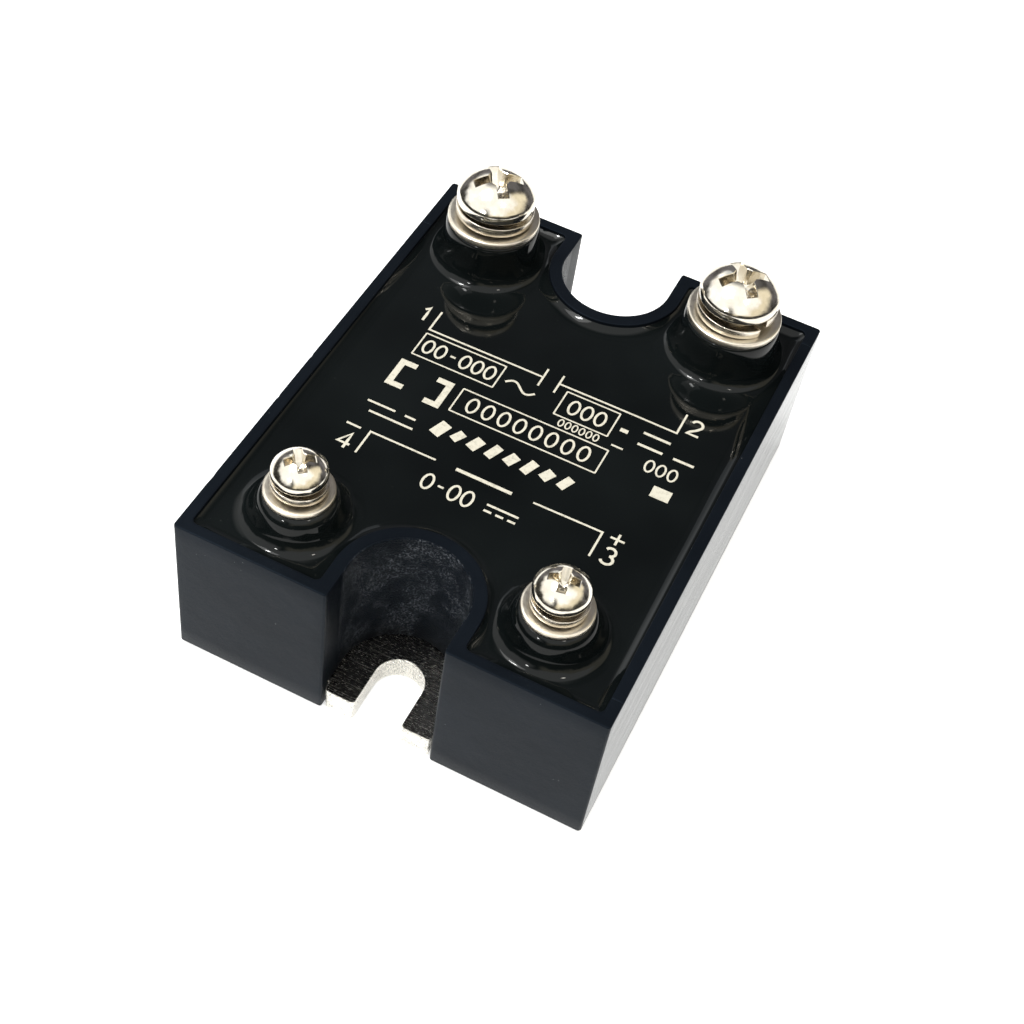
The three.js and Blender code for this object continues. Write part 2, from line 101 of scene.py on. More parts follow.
def add_mesh(name, verts, faces, material, body="relay", replaces=(), origin=(0.0, 0.0), sharp=32,
             closed=True, normals=None):
    """A mesh piece from millimetre vertices in the row frame; its own origin stands at origin."""
    me = bpy.data.meshes.new(name)
    v = np.asarray(verts, float).copy()
    v[:, 0] -= origin[0]
    v[:, 1] -= origin[1]
    me.from_pydata((v * MM).tolist(), [], [list(map(int, f)) for f in faces])
    me.validate()
    if closed:
        bm = bmesh.new()
        bm.from_mesh(me)
        bmesh.ops.recalc_face_normals(bm, faces=bm.faces)
        bm.to_mesh(me)
        bm.free()
    me.polygons.foreach_set("use_smooth", np.ones(len(me.polygons), bool))
    me.set_sharp_from_angle(angle=math.radians(sharp))
    me.update()
    if normals is not None:
        me.normals_split_custom_set_from_vertices([tuple(map(float, x)) for x in normals])
    ob = bpy.data.objects.new(name, me)
    bpy.context.scene.collection.objects.link(ob)
    ob.location = (origin[0] * MM, origin[1] * MM, 0)
    me.materials.append(material)
    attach(ob, body)
    if replaces:
        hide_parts(*replaces)
    return ob


class Shape:
    """Collects vertices and faces of one closed mesh, ring by ring."""

    def __init__(self):
        self.v, self.f = [], []

    def ring(self, pts):
        i = len(self.v)
        self.v.extend([tuple(map(float, p)) for p in pts])
        return list(range(i, i + len(pts)))

    def point(self, p):
        self.v.append(tuple(map(float, p)))
        return len(self.v) - 1

    def bridge(self, a, b, closed=True):
        n = len(a)
        for i in range(n if closed else n - 1):
            k = (i + 1) % n
            self.f.append((a[i], a[k], b[k], b[i]))

    def fan(self, ring, p):
        n = len(ring)
        for i in range(n):
            self.f.append((ring[i], ring[(i + 1) % n], p))


def circle(r, z, n=96, a0=0.0):
    a = a0 + np.arange(n) * 2 * math.pi / n
    return np.c_[r * np.cos(a), r * np.sin(a), np.full(n, z)]


# ------------------------------------------------------------------ material helpers


class Mat:
    """A node material with short ways to make textures in millimetres of object space."""

    def __init__(self, name):
        self.m = bpy.data.materials.new(name)
        self.m.use_nodes = True
        self.t = self.m.node_tree
        self.b = self.t.nodes["Principled BSDF"]
        self.co = self.t.nodes.new("ShaderNodeTexCoord").outputs["Object"]

    def set(self, **kw):
        for k, v in kw.items():
            s = self.b.inputs[k.replace("_", " ")]
            s.default_value = (*v, 1.0) if isinstance(v, (tuple, list)) and len(v) == 3 and s.type == "RGBA" else v
        return self

    def mapped(self, scale=(1, 1, 1), rot=(0, 0, 0), co=None):
        n = self.t.nodes.new("ShaderNodeMapping")
        n.inputs["Scale"].default_value = scale
        n.inputs["Rotation"].default_value = rot
        self.t.links.new(co or self.co, n.inputs["Vector"])
        return n.outputs["Vector"]

    def noise(self, per_mm, detail=4, rough=0.55, co=None, distort=0.0):
        n = self.t.nodes.new("ShaderNodeTexNoise")
        n.inputs["Scale"].default_value = per_mm / MM
        n.inputs["Detail"].default_value = detail
        n.inputs["Roughness"].default_value = rough
        n.inputs["Distortion"].default_value = distort
        self.t.links.new(co or self.co, n.inputs["Vector"])
        return n.outputs["Fac"]

    def cells(self, per_mm, feature="F1", co=None):
        n = self.t.nodes.new("ShaderNodeTexVoronoi")
        n.feature = feature
        n.inputs["Scale"].default_value = per_mm / MM
        self.t.links.new(co or self.co, n.inputs["Vector"])
        return n

    def ramp(self, fac, stops):
        n = self.t.nodes.new("ShaderNodeValToRGB")
        e = n.color_ramp.elements
        while len(e) < len(stops):
            e.new(0.5)
        for el, (pos, col) in zip(e, stops):
            el.position = pos
            el.color = (*col, 1.0) if hasattr(col, "__len__") else (col, col, col, 1.0)
        self.t.links.new(fac, n.inputs["Fac"])
        return n.outputs["Color"]

    def span(self, fac, lo, hi, a=0.3, b=0.7):
        n = self.t.nodes.new("ShaderNodeMapRange")
        n.inputs["From Min"].default_value = a
        n.inputs["From Max"].default_value = b
        n.inputs["To Min"].default_value = lo
        n.inputs["To Max"].default_value = hi
        self.t.links.new(fac, n.inputs["Value"])
        return n.outputs["Result"]

    def math(self, op, a, b=None, c=None):
        n = self.t.nodes.new("ShaderNodeMath")
        n.operation = op
        for i, x in enumerate((a, b, c)):
            if x is None:
                continue
            if isinstance(x, (int, float)):
                n.inputs[i].default_value = x
            else:
                self.t.links.new(x, n.inputs[i])
        return n.outputs[0]

    def mix(self, fac, a, b, kind="MIX"):
        n = self.t.nodes.new("ShaderNodeMix")
        n.data_type = "RGBA"
        n.blend_type = kind
        for s, x in ((n.inputs[0], fac), (n.inputs[6], a), (n.inputs[7], b)):
            if isinstance(x, (int, float)):
                s.default_value = x
            elif isinstance(x, (tuple, list)):
                s.default_value = (*x, 1.0)
            else:
                self.t.links.new(x, s)
        return n.outputs[2]

    def bump(self, height, depth_mm, before=None):
        n = self.t.nodes.new("ShaderNodeBump")
        n.inputs["Strength"].default_value = 1.0
        n.inputs["Distance"].default_value = depth_mm * MM
        self.t.links.new(height, n.inputs["Height"])
        if before is not None:
            self.t.links.new(before, n.inputs["Normal"])
        return n.outputs["Normal"]

    def to(self, socket, value):
        self.t.links.new(value, self.b.inputs[socket])
        return self

    def polar(self, turns=1.0, radial=1.0, along=1.0):
        """(angle, radius, z) of the object's own axis, for turned and rolled parts"""
        s = self.t.nodes.new("ShaderNodeSeparateXYZ")
        self.t.links.new(self.co, s.inputs[0])
        a = self.math("ARCTAN2", s.outputs[1], s.outputs[0])
        r = self.math("SQRT", self.math("ADD", self.math("POWER", s.outputs[0], 2.0),
                                        self.math("POWER", s.outputs[1], 2.0)))
        c = self.t.nodes.new("ShaderNodeCombineXYZ")
        self.t.links.new(self.math("MULTIPLY", a, turns * MM), c.inputs[0])
        self.t.links.new(self.math("MULTIPLY", r, radial), c.inputs[1])
        self.t.links.new(self.math("MULTIPLY", s.outputs[2], along), c.inputs[2])
        return c.outputs[0]


def housing_material():
    m = Mat("housing_plastic").set(Specular_IOR_Level=0.20)
    m.b.inputs["Specular Tint"].default_value = (0.52, 0.74, 1.0, 1.0)
    tone = m.noise(0.12, 3)
    fine = m.noise(5.5, 3, 0.6)
    col = m.mix(m.span(tone, 0, 1), (0.0036, 0.0048, 0.0070), (0.0058, 0.0078, 0.0112))
    # spark-eroded skin: fine everywhere, much coarser inside the two notches
    xyz = m.t.nodes.new("ShaderNodeSeparateXYZ")
    m.t.links.new(m.co, xyz.inputs[0])
    dy = m.math("SUBTRACT", m.math("ABSOLUTE", xyz.outputs[1]), NOTCH_Y * MM)
    dist = m.math("SQRT", m.math("ADD", m.math("POWER", xyz.outputs[0], 2.0), m.math("POWER", dy, 2.0)))
    notch = m.span(dist, 1.0, 0.0, (NOTCH_R + 0.03) * MM, (NOTCH_R + 0.16) * MM)
    grains = m.cells(8.0)
    coarse = m.math("MULTIPLY", m.math("ADD", grains.outputs["Distance"], m.noise(11.0, 2, 0.8)), notch)
    speck = m.cells(1.1)
    dust = m.math("MULTIPLY", m.math("LESS_THAN", speck.outputs["Distance"], 0.045),
                  m.math("GREATER_THAN", m.noise(0.6, 1), 0.62))
    hue = m.t.nodes.new("ShaderNodeSeparateColor")
    m.t.links.new(grains.outputs["Color"], hue.inputs[0])
    # painted glints: bright specks in the notches' base colour stand in for light sparkling off the spark-eroded grain
    painted_glint = m.math("MULTIPLY", m.math("MULTIPLY", m.span(hue.outputs[0], 0, 1, 0.62, 0.95),
                                        m.span(m.noise(0.45, 2), 0, 1, 0.40, 0.62)), notch)
    m.to("Base Color", m.mix(painted_glint, m.mix(dust, col, (0.16, 0.165, 0.17)), (0.12, 0.130, 0.145)))
    # the long sides are smoother, with fine draw marks along the pull and the length
    geo = m.t.nodes.new("ShaderNodeNewGeometry")
    face = m.t.nodes.new("ShaderNodeSeparateXYZ")
    m.t.links.new(geo.outputs["Normal"], face.inputs[0])
    side = m.span(m.math("ABSOLUTE", face.outputs[0]), 0, 1, 0.97, 0.995)
    outer = m.math("MULTIPLY", side, m.math("GREATER_THAN", m.math("ABSOLUTE", xyz.outputs[0]), 22.0 * MM))
    streak = m.noise(1.0, 3, 0.6, co=m.mapped((1.0, 0.06, 3.2)))
    m.to("Specular IOR Level", m.math("ADD", m.math("ADD", 0.085, m.math("MULTIPLY", outer, 0.40)),
                                      m.math("MULTIPLY", notch, 0.06)))
    rough = m.math("SUBTRACT", m.span(fine, 0.36, 0.46), m.math("MULTIPLY", notch, 0.10))
    rough = m.math("SUBTRACT", rough, m.math("MULTIPLY", outer, m.span(streak, 0.30, 0.20)))
    m.to("Roughness", rough)
    n = m.bump(m.noise(0.5, 2), 0.03)
    n = m.bump(m.noise(4.2, 4, 0.7), 0.012, n)
    n = m.bump(coarse, 0.085, n)
    m.to("Normal", n)
    return m.m


def resin_material():
    m = Mat("potting_epoxy").set(Specular_IOR_Level=0.21, IOR=1.5)
    tone = m.noise(0.07, 2)
    m.to("Base Color", m.mix(m.span(tone, 0, 1), (0.0022, 0.0032, 0.0034), (0.0050, 0.0068, 0.0070)))
    haze = m.noise(0.35, 3)
    m.to("Roughness", m.span(haze, 0.035, 0.07))
    n = m.bump(m.noise(0.13, 2, 0.4), 0.02)
    pits = m.cells(0.9)
    dot = m.math("MULTIPLY", m.math("SUBTRACT", 1.0, m.math("SMOOTH_MIN", m.math(
        "MULTIPLY", pits.outputs["Distance"], 16.0), 1.0, 0.1)), m.math("GREATER_THAN", m.noise(0.45, 0), 0.6))
    n = m.bump(dot, 0.02, n)
    m.to("Normal", n)
    return m.m


def nickel_material(name, base=(0.80, 0.76, 0.68), dark=(0.62, 0.57, 0.48), r=(0.10, 0.22), turned=0.004, dent=0.02,
                    grain=(6.0, 9.0, 9.0)):
    m = Mat(name).set(Metallic=1.0)
    blotch = m.noise(0.5, 4, 0.6)
    m.to("Base Color", m.mix(m.span(blotch, 0, 1), dark, base))
    p = m.polar(*grain)
    lines = m.noise(1.0, 4, 0.7, co=p)
    m.to("Roughness", m.span(lines, r[0], r[1]))
    n = m.bump(m.noise(0.45, 2), dent)
    n = m.bump(lines, turned, n)
    n = m.bump(m.noise(3.5, 3, 0.7), turned * 0.9, n)
    m.to("Normal", n)
    return m.m


def plate_material():
    m = Mat("base_plate_nickel").set(Metallic=1.0)
    blotch = m.noise(0.3, 4, 0.6)
    brushed = m.noise(1.0, 4, 0.7, co=m.mapped((0.7, 12.0, 8.0)))
    nicks = m.noise(1.0, 3, 0.7, co=m.mapped((2.2, 9.0, 5.0), (0, 0, 0.10)))
    drag = m.noise(1.0, 2, 0.6, co=m.mapped((0.22, 26.0, 3.0), (0, 0, -0.12)))
    pits = m.noise(7.0, 2, 0.8)
    # the upward face is painted dark, a painted reflection of the dark surroundings; the scratches in it are bright
    geo = m.t.nodes.new("ShaderNodeNewGeometry")
    face = m.t.nodes.new("ShaderNodeSeparateXYZ")
    m.t.links.new(geo.outputs["Normal"], face.inputs[0])
    # painted shade: faces pointing up get the dark colour below, standing in for the dark reflection on the top
    top = m.span(face.outputs[2], 0, 1, 0.90, 0.99)
    marks = m.math("MAXIMUM", m.span(nicks, 0, 1, 0.60, 0.64), m.math("MULTIPLY", m.span(drag, 0, 1, 0.60, 0.64), 0.7))
    marks = m.math("MAXIMUM", marks, m.math("MULTIPLY", m.span(pits, 0, 1, 0.66, 0.70), 0.6))
    bright = m.mix(m.span(blotch, 0, 1), (0.60, 0.58, 0.53), (0.88, 0.86, 0.80))
    top_painted_dark = m.mix(marks, (0.15, 0.148, 0.142), (1.0, 0.98, 0.92))
    m.to("Base Color", m.mix(top, bright, top_painted_dark))
    m.to("Roughness", m.math("ADD", m.span(brushed, 0.07, 0.14), m.math("MULTIPLY", m.math("MULTIPLY", marks, top), 0.35)))
    n = m.bump(brushed, 0.006)
    n = m.bump(m.span(nicks, 0, 1, 0.58, 0.66), 0.11, n)
    n = m.bump(m.span(drag, 0, 1, 0.56, 0.62), 0.07, n)
    n = m.bump(m.span(pits, 0, 1, 0.58, 0.68), 0.05, n)
    m.to("Normal", n)
    return m.m


def ink_material():
    m = Mat("print_ink").set(Specular_IOR_Level=0.4)
    cover = m.noise(2.2, 4, 0.7)
    m.to("Base Color", m.mix(m.span(cover, 0, 1, 0.25, 0.5), (0.40, 0.38, 0.31), (0.66, 0.63, 0.53)))
    m.to("Roughness", m.span(m.noise(4.0, 2), 0.42, 0.62))
    m.to("Normal", m.bump(m.noise(5.0, 3, 0.7), 0.01))
    return m.m


def plain_material(name, a, b, rough, metallic=0.0, scale=0.8, depth=0.01, grain=3.0):
    m = Mat(name).set(Metallic=metallic)
    m.to("Base Color", m.mix(m.span(m.noise(scale, 4, 0.6), 0, 1), a, b))
    m.to("Roughness", m.span(m.noise(grain, 3), rough[0], rough[1]))
    m.to("Normal", m.bump(m.noise(grain, 4, 0.65), depth))
    return m.m


def banded_material():
    """lacquered resistor body with four colour bands across its length"""
    m = Mat("resistor_body")
    s = m.t.nodes.new("ShaderNodeSeparateXYZ")
    m.t.links.new(m.t.nodes["Texture Coordinate"].outputs["Generated"], s.inputs[0])
    k = (0.33, 0.50, 0.58)
    col = m.ramp(s.outputs[0], [(0.0, (0.7, 0.68, 0.62)), (0.12, k), (0.26, (0.35, 0.02, 0.02)), (0.32, k),
                                (0.42, (0.30, 0.03, 0.30)), (0.48, k), (0.58, (0.02, 0.02, 0.02)), (0.64, k),
                                (0.76, (0.55, 0.33, 0.05)), (0.82, k), (0.90, (0.7, 0.68, 0.62))])
    col.node.color_ramp.interpolation = "CONSTANT"
    m.to("Base Color", col)
    m.to("Roughness", m.span(m.noise(2.0, 3), 0.22, 0.36))
    m.to("Normal", m.bump(m.noise(1.2, 3), 0.02))
    return m.m


MATS = {
    "housing_plastic": housing_material(),
    "potting_epoxy": resin_material(),
    "base_plate_nickel": plate_material(),
    "screw_nickel": nickel_material("screw_nickel", r=(0.07, 0.17), turned=0.0025, dent=0.03),
    "washer_nickel": nickel_material("washer_nickel", base=(0.78, 0.73, 0.63), dark=(0.60, 0.54, 0.44), r=(0.26, 0.42),
                                     turned=0.008, dent=0.012, grain=(10.0, 2.0, 6.0)),
    "lock_washer_nickel": nickel_material("lock_washer_nickel", base=(0.76, 0.71, 0.62), dark=(0.58, 0.52, 0.43),
                                          r=(0.14, 0.28), turned=0.012, dent=0.02, grain=(1.5, 9.0, 9.0)),
    "print_ink": ink_material(),
    "insert_brass": nickel_material("insert_brass", base=(0.74, 0.66, 0.47), dark=(0.62, 0.52, 0.33), r=(0.2, 0.34),
                                    turned=0.01, dent=0.01, grain=(1.0, 12.0, 6.0)),
    "copper": plain_material("copper", (0.72, 0.36, 0.24), (0.80, 0.46, 0.32), (0.22, 0.38), 1.0),
    "tinned_copper": plain_material("tinned_copper", (0.60, 0.57, 0.52), (0.74, 0.71, 0.66), (0.24, 0.4), 1.0),
    "alumina": plain_material("alumina", (0.78, 0.78, 0.75), (0.86, 0.86, 0.84), (0.5, 0.66)),
    "silicon": plain_material("silicon", (0.16, 0.17, 0.20), (0.24, 0.25, 0.28), (0.18, 0.28), 0.6, 0.5, 0.002),
    "circuit_board": plain_material("circuit_board", (0.010, 0.095, 0.040), (0.018, 0.14, 0.06), (0.3, 0.44)),
    "component_body": plain_material("component_body", (0.012, 0.012, 0.013), (0.024, 0.024, 0.026), (0.42, 0.6)),
    "resistor_body": banded_material(),
}
gel = Mat("silicone_gel").set(Transmission_Weight=0.8, IOR=1.41)
gel.to("Base Color", gel.mix(gel.noise(0.3, 3), (0.85, 0.87, 0.88), (0.95, 0.96, 0.96)))
gel.to("Roughness", gel.span(gel.noise(0.8, 2), 0.04, 0.12))
gel.to("Normal", gel.bump(gel.noise(0.4, 3), 0.05))
MATS["silicone_gel"] = gel.m

# ------------------------------------------------------------------ housing

SIDE_Y = sorted(set([round(x, 3) for x in np.linspace(0, HY - 0.35, 27)]
                    + [26.02 + d for d in (-0.14, -0.06, 0.0, 0.06, 0.14)]
                    + [21.3 + d for d in (-0.14, -0.06, 0.0, 0.06, 0.14)]
                    + [3.3 + d for d in (-0.3, -0.12, 0.12, 0.3)] + [9.9 + d for d in (-0.3, -0.12, 0.12, 0.3)]))
FRONT_S = np.linspace(0, 1, 17)[1:-1]


def quarter(kind, d):
    """One quarter of the wall's outline, from the notch's deepest point on +X to the side's middle, offset by d
    into the wall. Every offset and both outlines have the same stations."""
    r, y0 = NOTCH_R, -HY
    pts = []
    if kind == "outer":
        rn = r + d
        for a in np.linspace(math.pi / 2, 0, 41):
            pts.append((rn * math.cos(a), -NOTCH_Y + rn * math.sin(a)))
        for y in np.linspace(-NOTCH_Y, -(HY - WALL), 7)[1:]:
            pts.append((rn, y))
        pts.append((rn, -(HY - WALL) - 0.01))
        rc, cx, cy = 0.30, r + 0.30, -HY + 0.30
        for a in np.linspace(math.pi, 1.5 * math.pi, 6):
            pts.append((cx + (rc - d) * math.cos(a), cy + (rc - d) * math.sin(a)))
        cr = 0.35
        x_end = HX - cr
        for s in FRONT_S:
            pts.append((cx + (x_end - cx) * s, y0 + d))
        for a in np.linspace(1.5 * math.pi, 2 * math.pi, 7):
            pts.append((HX - cr + (cr - d) * math.cos(a), -HY + cr + (cr - d) * math.sin(a)))
        for y in reversed(SIDE_Y):
            if y < HY - cr - 0.001:
                pts.append((HX - d, -y))
    else:
        rn = r + NOTCH_WALL - d
        for a in np.linspace(math.pi / 2, 0, 41):
            pts.append((rn * math.cos(a), -NOTCH_Y + rn * math.sin(a)))
        rf = 0.6
        cx, cy = r + NOTCH_WALL + rf, -(HY - WALL) + rf
        for y in np.linspace(-NOTCH_Y, cy, 7)[1:]:
            pts.append((rn, y))
        pts.append((rn, cy - 0.005))
        for a in np.linspace(math.pi, 1.5 * math.pi, 6):
            pts.append((cx + (rf + d) * math.cos(a), cy + (rf + d) * math.sin(a)))
        ex = HX - WALL - rf
        for s in FRONT_S:
            pts.append((cx + (ex - cx) * s, -(HY - WALL) - d))
        for a in np.linspace(1.5 * math.pi, 2 * math.pi, 7):
            pts.append((ex + (rf + d) * math.cos(a), -(HY - WALL) + rf + (rf + d) * math.sin(a)))
        for y in reversed(SIDE_Y):
            if y < HY - 0.35 - 0.001:
                pts.append((HX - WALL + d, -min(y, HY - WALL - rf)))
    return np.array(pts)


def full_outline(kind, d):
    q = quarter(kind, d)
    right = np.vstack([q, (q * [1, -1])[::-1][1:]])
    left = (right * [-1, 1])[::-1][1:-1]
    return np.vstack([right, left])


def in_notch_flags():
    """1 where the wall stands over the plate, beside a notch, and 0 where it reaches down past it"""
    n_notch = 41 + 6
    q = np.zeros(len(quarter("outer", 0)))
    q[:n_notch] = 1
    right = np.concatenate([q, q[::-1][1:]])
    left = right[::-1][1:-1]
    return np.concatenate([right, left])


def build_housing():
    over = in_notch_flags()
    zb = np.where(over > 0, PLATE_T + 0.05, SKIRT)
    base_out = full_outline("outer", 0)
    top = np.full(len(zb), RIM)
    # small moulding marks across the rim, and nicks on its outer edge
    for x, y, half in ((HX, -26.02, 0.1), (HX, 26.02, 0.1), (-HX, 21.3, 0.1)):
        near = (abs(base_out[:, 0] - x) < 0.1) & (abs(base_out[:, 1] - y) < 0.03)
        top[near] -= 0.045
    shape = Shape()
    span = lambda t: zb + (top - zb) * t
    rings = [("outer", 0.22, zb), ("outer", 0.07, zb), ("outer", 0.02, zb + 0.02), ("outer", 0.0, zb + 0.07)]
    rings += [("outer", 0.0, span(t)) for t in (0.12, 0.3, 0.5, 0.7, 0.88)]
    rings += [("outer", 0.0, top - 0.12), ("outer", 0.012, top - 0.06), ("outer", 0.045, top - 0.018),
              ("outer", 0.11, top), ("outer", 0.3, top)]
    rings += [("inner", 0.3, top), ("inner", 0.10, top), ("inner", 0.04, top - 0.018), ("inner", 0.01, top - 0.06),
              ("inner", 0.0, top - 0.12)]
    rings += [("inner", 0.0, span(t)) for t in (0.9, 0.6, 0.3)]
    rings += [("inner", 0.0, zb + 0.06), ("inner", 0.06, zb)]
    ids = []
    for kind, d, z in rings:
        o = full_outline(kind, d)
        ids.append(shape.ring(np.c_[o, z]))
    for a, b in zip(ids, ids[1:] + ids[:1]):
        shape.bridge(a, b)
    v = np.array(shape.v)
    # moulded walls are never quite flat: a slow sink of a few hundredths on the long faces
    sink = 0.05 * np.sin(np.clip((v[:, 2] - SKIRT) / (RIM - SKIRT), 0, 1) * math.pi)
    outer_side = abs(abs(v[:, 0]) - HX) < 0.02
    v[outer_side, 0] -= np.sign(v[outer_side, 0]) * sink[outer_side] * np.clip(1 - (v[outer_side, 1] / HY) ** 4, 0, 1)
    for y, w in ((20.5, 0.25), (-3.3, 0.2), (-9.9, 0.2), (-22.0, 0.25)):
        edge = (v[:, 0] < -HX + 0.14) & (v[:, 2] > RIM - 0.2) & (abs(v[:, 1] - y) < w)
        v[edge, 2] += 0.0
        v[edge, 0] += 0.05
    return add_mesh("housing_shell", v, shape.f, MATS["housing_plastic"],
                    replaces=("housing",), sharp=50)


build_housing()

# ------------------------------------------------------------------ base plate


def plate_quarter(d):
    """Plate outline from the slot's deepest point to the side's middle, offset inward by d"""
    pts = []
    rs = SLOT_R + d
    for a in np.linspace(math.pi / 2, 0, 21):
        pts.append((rs * math.cos(a), -SLOT_Y + rs * math.sin(a)))
    rc = 0.45
    for y in np.linspace(-SLOT_Y, -TAB_HY + rc, 6)[1:-1]:
        pts.append((rs, y))
    for a in np.linspace(math.pi, 1.5 * math.pi, 6):
        pts.append((SLOT_R + rc + (rc - d) * math.cos(a), -TAB_HY + rc + (rc - d) * math.sin(a)))
    rt = 0.4
    for x in np.linspace(SLOT_R + rc, TAB_HX - rt, 5)[1:-1]:
        pts.append((x, -TAB_HY + d))
    for a in np.linspace(1.5 * math.pi, 2 * math.pi, 6):
        pts.append((TAB_HX - rt + (rt - d) * math.cos(a), -TAB_HY + rt + (rt - d) * math.sin(a)))
    ri = 0.3
    for a in np.linspace(math.pi, math.pi / 2, 5):
        pts.append((TAB_HX + ri + (ri + d) * math.cos(a), -PLATE_HY - ri + (ri + d) * math.sin(a)))
    for x in np.linspace(TAB_HX + ri, PLATE_HX - 0.8, 12)[1:-1]:
        pts.append((x, -PLATE_HY + d))
    for a in np.linspace(1.5 * math.pi, 2 * math.pi, 7):
        pts.append((PLATE_HX - 0.8 + (0.8 - d) * math.cos(a), -PLATE_HY + 0.8 + (0.8 - d) * math.sin(a)))
    for y in np.linspace(-PLATE_HY + 0.8, 0, 12)[1:]:
        pts.append((PLATE_HX - d, y))
    return np.array(pts)


def build_plate():
    def outline(d):
        q = plate_quarter(d)
        right = np.vstack([q, (q * [1, -1])[::-1][1:]])
        return np.vstack([right, (right * [-1, 1])[::-1][1:-1]])

    s = Shape()
    t = PLATE_T
    # stamped: rolled over at the bottom edge, sheared wall, fine burr at the top
    prof = [(0.34, 0.0), (0.20, 0.03), (0.09, 0.11), (0.03, 0.22), (0.0, 0.38), (0.0, 1.2), (0.012, 1.9), (0.0, 2.5),
            (0.0, t - 0.09), (0.02, t - 0.03), (0.07, t)]
    ids = [s.ring(np.c_[outline(d), np.full(len(outline(d)), z)]) for d, z in prof]
    for a, b in zip(ids, ids[1:]):
        s.bridge(a, b)
    s.f.append(tuple(ids[0]))
    s.f.append(tuple(ids[-1]))
    return add_mesh("heatsink_base", s.v, s.f, MATS["base_plate_nickel"],
                    replaces=("base_plate",), sharp=28)


build_plate()

# ------------------------------------------------------------------ resin surface

INX, INY = HX - WALL, HY - WALL
CAP_R = NOTCH_R + NOTCH_WALL


def pchip(points):
    """A smooth monotone curve through (r, z) points, as a function of an array of r"""
    x = np.array([p[0] for p in points])
    y = np.array([p[1] for p in points])
    h = np.diff(x)
    s = np.diff(y) / h
    m = np.zeros(len(x))
    for i in range(1, len(x) - 1):
        if s[i - 1] * s[i] > 0:
            w1, w2 = 2 * h[i] + h[i - 1], h[i] + 2 * h[i - 1]
            m[i] = (w1 + w2) / (w1 / s[i - 1] + w2 / s[i])

    def f(r):
        r = np.clip(r, x[0], x[-1])
        i = np.clip(np.searchsorted(x, r) - 1, 0, len(x) - 2)
        u = (r - x[i]) / h[i]
        return ((1 + 2 * u) * (1 - u) ** 2 * y[i] + u * (1 - u) ** 2 * h[i] * m[i]
                + u * u * (3 - 2 * u) * y[i + 1] + u * u * (u - 1) * h[i] * m[i + 1])
    return f


BOSS = {id(OUT): pchip(OUT["boss"]), id(IN): pchip(IN["boss"])}


def wet(d, h0=0.52, w=1.75):
    """how high the resin creeps up a wall, at distance d from it"""
    u = np.clip(1 - d / w, 0, 1)
    return h0 * u ** 2.2


def notch_distance(x, y, side):
    yy = np.minimum(y * side, 1e9)
    dy = np.where(yy > NOTCH_Y, 0.0, yy - NOTCH_Y)
    return np.hypot(x, dy) - CAP_R


def resin_height(x, y):
    walls = [wet(INX - x), wet(INX + x), wet(INY - y), wet(INY + y), wet(notch_distance(x, y, 1)),
             wet(notch_distance(x, y, -1))]
    m = sum(a ** 2.4 for a in walls) ** (1 / 2.4)
    z2 = m ** 2
    for _, t, cx, cy, *_ in TERMINALS:
        b = BOSS[id(t)](np.hypot(x - cx, y - cy))
        z2 = z2 + b ** 2
    wave = 0.018 * np.sin(x * 0.21 + 0.7) * np.sin(y * 0.17 + 0.4) + 0.010 * np.sin(x * 0.43 - y * 0.31)
    return RESIN_Z + np.sqrt(z2) + wave * np.clip(1 - z2, 0, 1)


